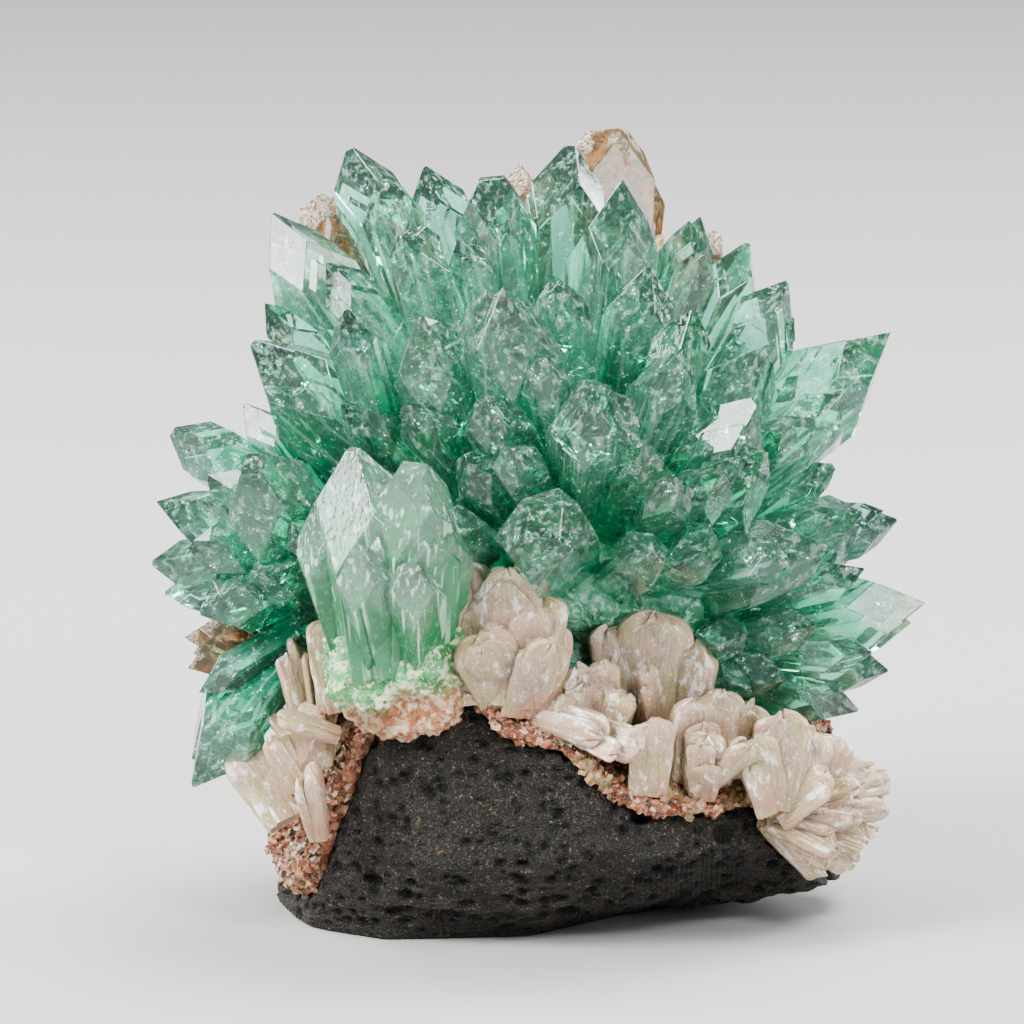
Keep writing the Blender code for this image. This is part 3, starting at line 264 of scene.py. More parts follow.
STILBITE_CENTRE = (
    ((-8.0, 34.6, 27.5), (-6.6, 21.0, 24.0), 5.6, 3.0, 8),
    ((-3.8, 33.6, 28.5), (-3.6, 21.0, 24.0), 6.8, 3.2, -6),
    ((-0.2, 30.9, 27.5), (-1.2, 21.0, 23.0), 5.2, 3.0, 14),
    ((-6.4, 27.4, 30.0), (-4.0, 21.0, 23.0), 6.4, 2.6, 4),
    ((0.4, 26.4, 28.5), (-2.5, 20.0, 23.0), 4.6, 2.4, 24),
    ((5.6, 17.6, 26.0), (-1.5, 20.6, 22.0), 4.0, 2.2, 20),
    ((9.0, 16.4, 25.5), (1.5, 19.6, 21.0), 3.8, 2.2, -10),
)
STILBITE_RIGHT = (
    ((1.9, 21.8, 25.0), (4.6, 16.6, 21.0), 3.4, 1.8, 10),
    ((3.2, 24.2, 24.6), (4.8, 16.6, 21.0), 3.6, 1.8, 25),
    ((5.6, 24.8, 24.6), (5.2, 16.6, 20.0), 3.6, 1.8, 0),
    ((7.6, 21.8, 25.0), (6.0, 16.0, 20.0), 3.4, 1.8, -20),
    ((6.2, 28.2, 20.0), (7.6, 19.0, 18.0), 4.4, 2.4, 15),
    ((10.8, 29.2, 20.0), (10.0, 18.0, 17.0), 7.6, 3.2, 5),
    ((14.8, 26.8, 19.0), (12.6, 18.0, 16.0), 6.0, 2.8, -20),
    ((10.0, 24.2, 22.6), (10.2, 18.0, 19.0), 2.4, 2.0, 40),
    ((10.6, 19.2, 26.0), (10.0, 12.0, 22.0), 4.6, 2.2, 5),
    ((14.6, 21.0, 23.0), (14.0, 13.0, 19.0), 4.8, 2.6, 30),
    ((17.4, 22.0, 20.5), (16.4, 13.0, 17.0), 5.0, 2.6, 10),
    ((20.4, 20.8, 18.0), (18.6, 12.0, 16.0), 4.8, 2.6, -20),
    ((15.8, 17.6, 25.0), (15.2, 12.0, 20.0), 4.2, 2.2, -5),
    ((19.8, 16.8, 24.5), (15.0, 12.2, 21.0), 3.2, 2.0, 45),
    ((20.4, 17.2, 23.0), (22.4, 10.6, 19.0), 4.4, 2.2, 10),
    ((23.2, 19.8, 21.0), (22.8, 10.6, 18.0), 5.4, 2.4, 0),
    ((26.4, 18.0, 20.0), (23.4, 10.6, 17.0), 5.0, 2.2, -12),
    ((27.4, 14.4, 20.5), (23.2, 10.0, 17.0), 4.4, 2.2, -25),
    ((29.2, 17.2, 14.5), (25.6, 11.0, 14.0), 4.2, 2.8, 20),
)
SHEAF_FOOT = (21.5, 9.6, 15.0)
SHEAF_TIPS = (
    (31.9, 14.2, 12.0), (33.4, 12.4, 9.0), (33.4, 10.6, 13.5), (32.6, 8.8, 9.5), (31.4, 6.8, 13.0),
    (30.2, 5.0, 10.0), (27.6, 4.2, 14.0), (30.6, 12.6, 16.0), (30.8, 9.6, 17.0), (28.6, 6.4, 17.5),
)
SHEAF_BLADE = (3.6, 2.6)
SHEAF_TURN = 35.0
# Three clumps of blades on the hidden rim: angle around the matrix, number of blades.
BACK_CLUMPS = ((math.radians(25.0), 6), (math.radians(95.0), 7), (math.radians(160.0), 6))
CLUMP_SPREAD = math.radians(34.0)
CLUMP_SPACING = 2.2
CLUMP_DEPTH = 1.5
CLUMP_LEAN = (0.2, 1.2)
CLUMP_LENGTH = (7.5, 10.0)
CLUMP_WIDTH = (4.4, 6.4)
CLUMP_FLATNESS = 0.45
CLUMP_ROLL = 35.0


# Small helpers

def shown(name, data):
    """A new object in the scene."""
    thing = bpy.data.objects.new(name, data)
    bpy.context.scene.collection.objects.link(thing)
    return thing


def put(name, mesh, material):
    """A mesh in the scene as an object of one material."""
    mesh.materials.clear()
    mesh.materials.append(material)
    return shown(name, mesh)


def smooth_mesh(name, bm):
    """A smoothly shaded mesh; uses up the bmesh."""
    mesh = bpy.data.meshes.new(name)
    bm.to_mesh(mesh)
    bm.free()
    mesh.shade_smooth()
    return mesh


def any_vector(chance, low, high):
    """Three numbers drawn from one range."""
    return Vector([chance.uniform(low, high) for _ in range(3)])


def move_out(verts, amounts):
    """Move points along their normals by amounts in millimetres."""
    moves = [vert.normal * amount * MM for vert, amount in zip(verts, amounts)]
    for vert, move in zip(verts, moves):
        vert.co += move


# Single crystals

# Foot and tip are in metres, the width in millimetres and the spin in degrees.
Crystal = namedtuple("Crystal", "foot tip width spin cut seed taper", defaults=(FOOT_TAPER,))


def placed(foot, tip, spin):
    """Matrix that stands +Z along the line from foot to tip, with its side turned by spin."""
    axis = (tip - foot).normalized()
    side = TOWARD_VIEWER.cross(axis).normalized()
    front = axis.cross(side)
    turn = Matrix((side, front, axis)).transposed().to_4x4()
    return Matrix.Translation(foot) @ turn @ Matrix.Rotation(spin, 4, "Z")


def sliced(bm, point, normal):
    """Cut away what lies beyond a plane and close the cut."""
    geometry = bm.verts[:] + bm.edges[:] + bm.faces[:]
    bmesh.ops.bisect_plane(
        bm, geom=geometry, dist=SLICE_MERGE, plane_co=point, plane_no=normal, clear_outer=True
    )
    bmesh.ops.holes_fill(bm, edges=bm.edges)


def prism(width, length, taper, ratios, inward, cut):
    """A crystal that stands on its foot at the origin, in metres, as in the solids."""
    bm = bmesh.new()
    half_diagonal = width / 2.0 * math.sqrt(2.0)
    bmesh.ops.create_cone(
        bm, cap_ends=True, segments=4, radius1=half_diagonal * taper, radius2=half_diagonal, depth=length
    )
    bmesh.ops.rotate(bm, verts=bm.verts, matrix=Matrix.Rotation(math.radians(45.0), 3, "Z"))
    bmesh.ops.translate(bm, verts=bm.verts, vec=(0.0, 0.0, length / 2.0))
    bmesh.ops.scale(bm, verts=bm.verts, vec=(ratios[0], ratios[1], 1.0))
    apex = Vector((0.0, 0.0, length))
    slope = math.sin(PYRAMID_SLOPE)
    for side, drop in enumerate(inward):
        turn = PYRAMID_TURN + side * math.pi / 2.0
        normal = Vector((math.cos(turn) * slope, math.sin(turn) * slope, math.cos(PYRAMID_SLOPE)))
        sliced(bm, apex - normal * drop, normal)
    if cut > 0.0:
        sliced(bm, apex - Vector((0.0, 0.0, cut)), CUT_NORMAL)
    return bm


def soften_edges(bm, size):
    """Break every edge by a narrow chamfer, which catches the light as a worn crystal edge does."""
    bmesh.ops.bevel(
        bm, geom=bm.edges[:], offset=size, offset_type="OFFSET", segments=1, profile=0.5,
        affect="EDGES", clamp_overlap=True,
    )


class Pile:
    """Collects closed bodies into one mesh, with what the materials need to know about each of them."""

    def __init__(self):
        self.places = []
        self.faces = []
        self.local = []
        self.share = []

    def add(self, bm, matrix, shift, length, flat=None):
        """Add a body given in its own frame; shift tells its textures apart from the others'.

        flat gives other coordinates for the textures, one for each point, in millimetres.
        """
        first = len(self.places)
        for number, vert in enumerate(bm.verts):
            vert.index = number
            self.places.append(matrix @ vert.co)
        for face in bm.faces:
            self.faces.append([vert.index + first for vert in face.verts])
            for vert in face.verts:
                own = vert.co / MM if flat is None else flat[vert.index]
                self.local.extend(own + shift)
                self.share.append(vert.co.z / length)
        bm.free()

    def mesh(self, name):
        """The bodies as one mesh."""
        mesh = bpy.data.meshes.new(name)
        mesh.from_pydata(self.places, [], self.faces)
        local = mesh.attributes.new("local", "FLOAT_VECTOR", "CORNER")
        local.data.foreach_set("vector", self.local)
        share = mesh.attributes.new("share", "FLOAT", "CORNER")
        share.data.foreach_set("value", self.share)
        return mesh


def union(name, meshes):
    """The meshes grown together into one closed body."""
    group = bpy.data.collections.new(name)
    bpy.context.scene.collection.children.link(group)
    base = shown(name, meshes[0])
    for mesh in meshes[1:]:
        group.objects.link(bpy.data.objects.new(name, mesh))
    modifier = base.modifiers.new("Boolean", "BOOLEAN")
    modifier.operation = "UNION"
    modifier.operand_type = "COLLECTION"
    modifier.collection = group
    modifier.solver = "MANIFOLD"
    depsgraph = bpy.context.evaluated_depsgraph_get()
    result = bpy.data.meshes.new_from_object(base.evaluated_get(depsgraph))
    for thing in list(group.objects) + [base]:
        bpy.data.objects.remove(thing)
    bpy.data.collections.remove(group)
    return result


# The glassy crystals are this much stouter than the plain solids that they replace.
STOUTNESS = 1.10
# Textures of different bodies lie up to this many millimetres apart.
SHIFT = 900.0
EDGE_SHARE = 0.012
EDGE_LIMITS = (0.035, 0.10)


def edge_size(width):
    """Width of the chamfer along the edges of a crystal, in metres."""
    return min(max(width * EDGE_SHARE, EDGE_LIMITS[0]), EDGE_LIMITS[1]) * MM


def crystal_meshes(crystal, shoulders, veils, veil_pile):
    """One crystal and its parallel shoulders; the veils inside it go on a pile of their own."""
    chance = random.Random(crystal.seed)
    width = crystal.width * MM
    length = (crystal.tip - crystal.foot).length + max(crystal.cut, TIP_LOSS) * width
    ratios = (chance.uniform(*SIDE_RATIO) * STOUTNESS, chance.uniform(*SIDE_RATIO) * STOUTNESS)
    inward = [chance.uniform(0.0, PLANE_SKEW) * width for _ in range(4)]
    matrix = placed(crystal.foot, crystal.tip, math.radians(crystal.spin))
    shift = any_vector(chance, 0.0, SHIFT)
    bm = prism(width, length, crystal.taper, ratios, inward, crystal.cut * width)
    soften_edges(bm, edge_size(crystal.width))
    pile = Pile()
    pile.add(bm, matrix, shift, length)
    meshes = [pile.mesh("crystal")]
    for _ in range(shoulders):
        pile = Pile()
        add_shoulder(pile, crystal, matrix, length, ratios, shift, chance)
        meshes.append(pile.mesh("shoulder"))
    for _ in range(veils):
        add_veil(veil_pile, crystal, matrix, length, shift, chance)
    return meshes


# Shoulders: size and how far they stand out, as shares of the crystal's width, and by what share of the fall
# of its pyramid they end lower; then how far they turn, in radians, and the least share of its length.
SHOULDER_SIZE = (0.45, 0.72)
SHOULDER_OUT = (0.03, 0.11)
SHOULDER_DROP = (0.55, 0.95)
SHOULDER_STRAY = 0.35
SHOULDER_SHORTEST = 0.4


def add_shoulder(pile, crystal, matrix, length, ratios, shift, chance):
    """A broad parallel crystal that stands a little out of the side of a larger one, as a growth step."""
    width = crystal.width * MM
    side_turn = chance.choice((0.0, 0.5, 1.0, 1.5)) * math.pi
    side_turn += chance.uniform(-SHOULDER_STRAY, SHOULDER_STRAY)
    size = chance.uniform(*SHOULDER_SIZE)
    out = (0.5 * (1.0 - size) + chance.uniform(*SHOULDER_OUT)) * width
    offset = Vector((math.cos(side_turn) * out * ratios[0], math.sin(side_turn) * out * ratios[1], 0.0))
    lower = out * math.tan(PYRAMID_SLOPE) * chance.uniform(*SHOULDER_DROP)
    own_length = max(length - lower - crystal.cut * width, SHOULDER_SHORTEST * length)
    inward = [chance.uniform(0.0, PLANE_SKEW) * size * width for _ in range(4)]
    bm = prism(size * width, own_length, crystal.taper, ratios, inward, 0.0)
    for vert in bm.verts:
        near_foot = 1.0 - min(vert.co.z / length, 1.0)
        vert.co += offset * (1.0 - (1.0 - crystal.taper) * near_foot)
    soften_edges(bm, edge_size(size * crystal.width))
    pile.add(bm, matrix, shift, length)


# Shares of the veils that lie near the tip and that lie across the crystal; their sizes go by its width.
VEILS_NEAR_TIP = 0.3
VEILS_ACROSS = 0.3
VEIL_LONG = (0.35, 1.0)
VEIL_WIDE = (0.15, 0.45)
VEIL_CRUMPLE = (0.03, 0.10)
VEIL_THICKNESS = 0.02 * MM
VEIL_TILT = 0.25


def add_veil(pile, crystal, matrix, length, shift, chance):
    """A thin crumpled sheet inside a crystal, as a healed crack looks."""
    width = crystal.width * MM
    bm = bmesh.new()
    bmesh.ops.create_grid(bm, x_segments=4, y_segments=6, size=0.5)
    near_tip = chance.random() < VEILS_NEAR_TIP
    size = 0.3 if near_tip else 1.0
    long_way = chance.uniform(*VEIL_LONG) * size * width
    wide_way = chance.uniform(*VEIL_WIDE) * max(size, 0.6) * width
    crumple = chance.uniform(*VEIL_CRUMPLE) * width
    seed = Vector((chance.uniform(0, 99), chance.uniform(0, 99), 0.0))
    for vert in bm.verts:
        ragged = 1.0 + 0.35 * noise.noise(vert.co * 6.0 + seed)
        wave = crumple * noise.noise(vert.co * 7.0 - seed)
        vert.co = Vector((vert.co.x * wide_way * ragged, wave, vert.co.y * long_way * ragged))
    bmesh.ops.solidify(bm, geom=bm.faces[:], thickness=VEIL_THICKNESS)
    across = chance.random() < VEILS_ACROSS
    tilt = Matrix.Rotation(math.pi / 2.0 if across else chance.uniform(-VEIL_TILT, VEIL_TILT), 3, "X")
    spin = Matrix.Rotation(chance.uniform(0.0, math.pi), 3, "Z")
    bmesh.ops.rotate(bm, verts=bm.verts, matrix=spin @ tilt)
    highest = length - (crystal.cut + (0.75 if near_tip else 0.95)) * width - long_way / 2.0
    level = highest if near_tip else chance.uniform(0.5, 1.0) * highest
    off = (0.05 if near_tip else 0.22) * width
    middle = Vector((chance.uniform(-off, off), chance.uniform(-off, off), level))
    bmesh.ops.translate(bm, verts=bm.verts, vec=middle)
    bmesh.ops.recalc_face_normals(bm, faces=bm.faces)
    bmesh.ops.reverse_faces(bm, faces=bm.faces)
    pile.add(bm, matrix, shift, length)


def crystal_of(root, seed, taper, tip, width, spin, cut=0.0, foot=None):
    """The crystal of one row of a table; with no foot given it starts a little from the root."""
    if foot is None:
        foot = Vector(root).lerp(Vector(tip), FOOT_SHARE)
    return Crystal(seen(*foot), seen(*tip), width, spin, cut, seed, taper)


def crystals_of(rows, root, first_seed, taper=FOOT_TAPER):
    """The crystals of a table."""
    return [crystal_of(root, first_seed + number, taper, *row) for number, row in enumerate(rows)]


def spiral_direction(number, count):
    """One of count directions that are spread evenly over a sphere."""
    height = 1.0 - 2.0 * (number + 0.5) / count
    turn = number * GOLDEN_TURN
    level = math.sqrt(1.0 - height * height)
    return Vector((level * math.cos(turn), level * math.sin(turn), height))


def free_directions(taken, start, count, room, depths, lowest):
    """Numbered directions, spread evenly, along which no taken crystal points.

    depths are how far to the back they may point, and lowest how far down.
    """
    directions = [(crystal.tip - start).normalized() for crystal in taken]
    for number in range(count):
        direction = spiral_direction(number, count)
        allowed = depths[0] <= direction.y <= depths[1] and direction.z >= lowest
        if allowed and not any(direction.angle(other) < room for other in directions):
            yield number, direction


def hidden_crystals(taken, start, first_seed):
    """Crystals over the back of the main spray, where no crystal of the tables points already."""
    chance = random.Random(first_seed)
    found = []
    free = free_directions(taken, start, HIDDEN_COUNT, HIDDEN_ROOM, HIDDEN_DEPTHS, HIDDEN_LOWEST)
    for number, direction in free:
        reach = chance.uniform(*HIDDEN_REACH) * (1.0 - HIDDEN_SHORTER * abs(direction.x))
        tip = start + direction * reach * MM
        foot = start + direction * HIDDEN_FOOT * MM
        width = chance.uniform(*HIDDEN_WIDTH)
        found.append(Crystal(foot, tip, width, chance.uniform(0.0, 90.0), chance.choice(HIDDEN_CUTS), number))
    return found


def filler_crystals(taken, start, first_seed):
    """Small crystals at evenly spread directions of the shown side that no larger crystal takes."""
    chance = random.Random(first_seed)
    limits = (FILLER_REACH, FILLER_WIDTH, (0.0, 90.0))
    draws = [[chance.uniform(*pair) for pair in limits] for _ in range(FILLER_COUNT)]
    found = []
    free = free_directions(taken, start, FILLER_COUNT, FILLER_ROOM, FILLER_DEPTHS, FILLER_LOWEST)
    for number, direction in free:
        reach, width, spin = draws[number]
        tip = start + direction * reach * MM
        foot = start + direction * FILLER_FOOT * MM
        found.append(Crystal(foot, tip, width, spin, 0.0, first_seed + number))
    return found


def main_spray_crystals():
    """The crystals of the big spray: those of the table, those behind it and the small ones between."""
    start = seen(*MAIN_ROOT)
    crystals = crystals_of(MAIN_CRYSTALS, MAIN_ROOT, 100)
    crystals += hidden_crystals(crystals, start, 500)
    return crystals + filler_crystals(crystals, start, 900)


# Surfaces of the rock, the crust and the blades

def remeshed(node, voxel):
    """The surface of a solid of the frame as a bmesh with small even faces."""
    helper = shown("helper", frame["nodes"][node].data.copy())
    modifier = helper.modifiers.new("Remesh", "REMESH")
    modifier.mode = "VOXEL"
    modifier.voxel_size = voxel * MM
    depsgraph = bpy.context.evaluated_depsgraph_get()
    mesh = bpy.data.meshes.new_from_object(helper.evaluated_get(depsgraph))
    bpy.data.objects.remove(helper)
    bm = bmesh.new()
    bm.from_mesh(mesh)
    return bm


def smoothed(bm, rounds):
    """Round off a surface."""
    for _ in range(rounds):
        bmesh.ops.smooth_vert(
            bm, verts=bm.verts, factor=0.5, use_axis_x=True, use_axis_y=True, use_axis_z=True
        )
    return bm


def pushed(bm, amount):
    """Move every point along its normal by what amount says for its place, in millimetres."""
    bm.normal_update()
    move_out(bm.verts, [amount(vert.co / MM) for vert in bm.verts])
    return bm


# Basalt

ROCK_VOXEL = 0.36
ROCK_SMOOTH = 3
SOLE_BAND = 0.4
PORE_COUNT = 2400
PORE_RADIUS = (0.3, 0.7)
LARGE_PORE_COUNT = 30
LARGE_PORE_RADIUS = (0.7, 1.4)
PORE_DEPTH = 0.85


def rock_relief(place):
    """Height of the basalt's broken surface: chips, ledges and grain; the sole stays flat."""
    if place.z < SOLE_BAND:
        return 0.0
    chips = abs(noise.noise(place * 0.28))
    ledges = noise.noise(Vector((place.x * 0.3, place.y * 0.3, place.z * 0.9)))
    coarse = noise.noise(place * 0.9)
    grain = noise.noise(place * 1.8)
    return -0.10 - 0.45 * chips + 0.22 * ledges + 0.16 * coarse + 0.12 * grain


def press_pores(bm, chance):
    """Press round gas pores into the basalt; gives how deep each point went, in millimetres."""
    bm.normal_update()
    verts = list(bm.verts)
    tree = KDTree(len(verts))
    for index, vert in enumerate(verts):
        tree.insert(vert.co, index)
    tree.balance()
    depths = [0.0] * len(verts)
    radii = [chance.uniform(*PORE_RADIUS) for _ in range(PORE_COUNT)]
    radii += [chance.uniform(*LARGE_PORE_RADIUS) for _ in range(LARGE_PORE_COUNT)]
    for radius in radii:
        middle = verts[chance.randrange(len(verts))].co.copy()
        flat = chance.uniform(0.5, 1.0)
        if middle.z < (SOLE_BAND + radius) * MM:
            continue
        for place, index, _ in tree.find_range(middle, radius * MM):
            away = (place - middle) / MM
            reach = math.hypot(away.x, away.y, away.z / flat) / radius
            if reach < 1.0:
                depth = PORE_DEPTH * radius * math.sqrt(1.0 - reach * reach)
                depths[index] = max(depths[index], depth)
    move_out(verts, [-depth for depth in depths])
    return depths


def add_basalt():
    """The basalt matrix."""
    bm = pushed(smoothed(remeshed("basalt_matrix", ROCK_VOXEL), ROCK_SMOOTH), rock_relief)
    depths = press_pores(bm, random.Random(41))
    mesh = smooth_mesh("basalt", bm)
    # How deep each point lies in a pore is kept, so that the material can paint shade into the pores.
    shaded_hollow = mesh.attributes.new("shaded_hollow", "FLOAT", "POINT")
    shaded_hollow.data.foreach_set("value", depths)
    dress(put("basalt", mesh, basalt_material()), "basalt", "basalt_matrix")


# The crust of small grains

CRUST_VOXEL = 0.42
CRUST_MIDDLE = Vector((1.5, 1.5, 5.0)) * MM
GRAIN_COUNT = 7000
GRAIN_SIZE = (0.25, 0.8)
GRAIN_STRETCH = ((0.6, 1.0), (0.6, 1.0), (0.8, 1.7))
GRAIN_CORNERS = (0.75, 1.1)
CRUST_SMOOTH = 2


def knobs(place, scale):
    """Rounded knobs, from 0 in the grooves between them to 1 on their tops."""
    distances, _ = noise.voronoi(place * scale)
    return min((distances[1] - distances[0]) * 1.6, 1.0)


def crust_relief(place):
    """Height of the knobby crust."""
    return 0.10 + 0.42 * knobs(place, 0.75) + 0.25 * noise.noise(place * 0.35)


def grain(size, chance):
    """A small blocky crystal about the origin, with its corners broken."""
    bm = bmesh.new()
    bmesh.ops.create_cube(bm, size=1.0)
    for vert in bm.verts:
        vert.co *= chance.uniform(*GRAIN_CORNERS)
    stretch = [size * chance.uniform(*limits) for limits in GRAIN_STRETCH]
    bmesh.ops.scale(bm, verts=bm.verts, vec=Vector(stretch) * MM)
    return bm


def any_turn(chance):
    """A rotation in any direction."""
    axis = any_vector(chance, -1.0, 1.0).normalized()
    return Matrix.Rotation(chance.uniform(0.0, math.pi), 4, axis)


def add_crust(material):
    """The crust on the basalt, with small grains standing in it."""
    chance = random.Random(43)
    bm = pushed(smoothed(remeshed("druse_crust", CRUST_VOXEL), CRUST_SMOOTH), crust_relief)
    bm.normal_update()
    outer = [vert for vert in bm.verts if vert.normal.dot(vert.co - CRUST_MIDDLE) > 0.0]
    grains = Pile()
    for _ in range(GRAIN_COUNT):
        place = outer[chance.randrange(len(outer))].co
        matrix = Matrix.Translation(place) @ any_turn(chance)
        grains.add(grain(chance.uniform(*GRAIN_SIZE), chance), matrix, Vector(), MM)
    dress(put("crust", smooth_mesh("crust", bm), material), "druse", "druse_crust")
    dress(put("crust_grains", grains.mesh("crust_grains"), material), "druse")


# Stilbite

PETAL_AROUND = 28
PETAL_ALONG = 14
PETAL_BEND = 0.05
# A leaf's foot against its width; its round end begins so many widths below its tip, but not under half way.
PETAL_FOOT = 0.8
PETAL_END = (0.26, 0.42)
PETAL_END_LIMIT = 0.5
STILBITE_VOXEL = 0.40
STILBITE_SMOOTH = 5
STILBITE_INSET = 0.5
STILBITE_CREASE = math.radians(50.0)
STILBITE_TALLEST = 60.0 * MM
# Foot and tip are in metres, width and thickness in millimetres and the spin in degrees.
Blade = namedtuple("Blade", "foot tip width thickness spin")
LEAVES_PER_BLADE = 3
# A leaf against its blade: size, reach, place in the stack, place aside, two turns in radians, and thickness.
FIRST_LEAF = (1.0, 1.0, 0.0, 0.0, 0.0, 0.0, 0.85)
LEAF_LIMITS = (
    (0.55, 0.85), (0.70, 0.97), (-0.42, 0.42), (-0.24, 0.24), (-0.14, 0.14), (-0.12, 0.12), (0.4, 0.6),
)


def petal(width, thickness, length, ridge, chance):
    """A rounded leaf that stands on its foot at the origin, in metres, and its own flat coordinates.

    It widens from its foot, ends in a scalloped round edge and has ridges that run lengthwise.
    """
    bm = bmesh.new()
    seed = chance.uniform(0.0, 900.0)
    bend = chance.uniform(-PETAL_BEND, PETAL_BEND) * length
    begin_round = 1.0 - min(chance.uniform(*PETAL_END) * width / length, PETAL_END_LIMIT)
    rings = []
    flat = []
    for row in range(PETAL_ALONG):
        share = math.sin(row / (PETAL_ALONG - 0.7) * math.pi / 2.0)
        widening = PETAL_FOOT + (1.0 - PETAL_FOOT) * min(share / begin_round, 1.0) ** 0.8
        rounding = max(share - begin_round, 0.0) / (1.0 - begin_round)
        half = width / 2.0 * widening * max(1.0 - rounding ** 3.0, 0.0) ** 0.45
        thick = thickness / 2.0 * (0.75 + 0.25 * share) * (1.0 - share ** 9.0) ** 0.5
        ring = []
        for column in range(PETAL_AROUND):
            turn = 2.0 * math.pi * column / PETAL_AROUND
            across = math.cos(turn)
            side = math.sin(turn)
            rise = math.copysign(abs(side) ** 0.35, side)
            line = noise.noise(Vector((across * 3.5, seed, share * 0.6)))
            scallop = 1.0 + 0.13 * share ** 4 * noise.noise(Vector((across * 2.6, seed, 5.0)))
            ragged = 1.0 + 0.10 * noise.noise(Vector((share * 5.0, across * 2.0, seed)))
            x = half * across * ragged
            y = (thick + ridge * MM * line) * rise + bend * share * share
            ring.append(bm.verts.new((x, y, length * share * scallop)))
            flat.append(Vector((width / 2.0 * across, y, length * share)) / MM)
        rings.append(ring)
    for low, high in zip(rings, rings[1:]):
        for column in range(PETAL_AROUND):
            after = (column + 1) % PETAL_AROUND
            bm.faces.new((low[column], low[after], high[after], high[column]))
    bm.faces.new(reversed(rings[0]))
    top = bm.verts.new(sum((vert.co for vert in rings[-1]), Vector()) / PETAL_AROUND)
    flat.append(Vector((0.0, 0.0, length)) / MM)
    for column in range(PETAL_AROUND):
        bm.faces.new((rings[-1][column], rings[-1][(column + 1) % PETAL_AROUND], top))
    return bm, flat


def add_leaves(pile, blade, ridge, chance):
    """A blade as a stack of leaves that fan apart a little."""
    length = (blade.tip - blade.foot).length
    matrix = placed(blade.foot, blade.tip, math.radians(blade.spin))
    for number in range(LEAVES_PER_BLADE):
        drawn = FIRST_LEAF if number == 0 else [chance.uniform(*limits) for limits in LEAF_LIMITS]
        size, reach, layer, aside, fan, lean, thick = drawn
        width = blade.width * size * MM
        leaf, flat = petal(width, blade.thickness * thick * MM, length * reach, ridge, chance)
        shift = any_vector(chance, 0.0, SHIFT)
        offset = Matrix.Translation(Vector((aside * blade.width, layer * blade.thickness, 0.0)) * MM)
        fanned = Matrix.Rotation(fan, 4, "Y")
        leaned = Matrix.Rotation(lean, 4, "X")
        pile.add(leaf, matrix @ offset @ fanned @ leaned, shift, length, flat)


def stilbite_relief(place):
    """Height of the mass between the blades."""
    return -STILBITE_INSET + 0.30 * noise.noise(place * 0.7) + 0.12 * noise.noise(place * 2.2)


def add_stilbite(node, blades, ridge, material, seed):
    """One group of blades with the mass that they grow from."""
    chance = random.Random(seed)
    pile = Pile()
    root = pushed(smoothed(remeshed(node, STILBITE_VOXEL), STILBITE_SMOOTH), stilbite_relief)
    pile.add(root, Matrix(), Vector(), STILBITE_TALLEST)
    for blade in blades:
        add_leaves(pile, blade, ridge, chance)
    mesh = pile.mesh(node)
    mesh.shade_smooth()
    mesh.set_sharp_from_angle(angle=STILBITE_CREASE)
    dress(put(node + "_leaves", mesh, material), "stilbite", node)


def blades_of(rows):
    """The blades of a table."""
    return [Blade(seen(*foot), seen(*tip), width, thick, spin) for tip, foot, width, thick, spin in rows]


def sheaf_blades():
    """The blades of the sheaf at the right end, all from one foot."""
    return [
        Blade(seen(*SHEAF_FOOT), seen(*tip), *SHEAF_BLADE, SHEAF_TURN * number)
        for number, tip in enumerate(SHEAF_TIPS)
    ]


def clump_blades(node, angle, count, seed):
    """Blades that lean out over the hidden rim, from the middle of the solid that they replace."""
    chance = random.Random(seed)
    low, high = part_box(node)
    middle = (Vector(low) + Vector(high)) / 2.0 / MM
    outward = Vector((math.cos(angle), math.sin(angle), 0.0))
    along = Vector((-outward.y, outward.x, 0.0))
    blades = []
    for number in range(count):
        turn = angle + CLUMP_SPREAD * (2.0 * number / (count - 1) - 1.0)
        direction = Vector((math.cos(turn), math.sin(turn), chance.uniform(*CLUMP_LEAN))).normalized()
        foot = middle + along * CLUMP_SPACING * (number - (count - 1) / 2.0) - outward * CLUMP_DEPTH
        tip = foot + direction * chance.uniform(*CLUMP_LENGTH)
        width = chance.uniform(*CLUMP_WIDTH)
        spin = chance.uniform(-CLUMP_ROLL, CLUMP_ROLL)
        blades.append(Blade(foot * MM, tip * MM, width, CLUMP_FLATNESS * width, spin))
    return blades


# Materials

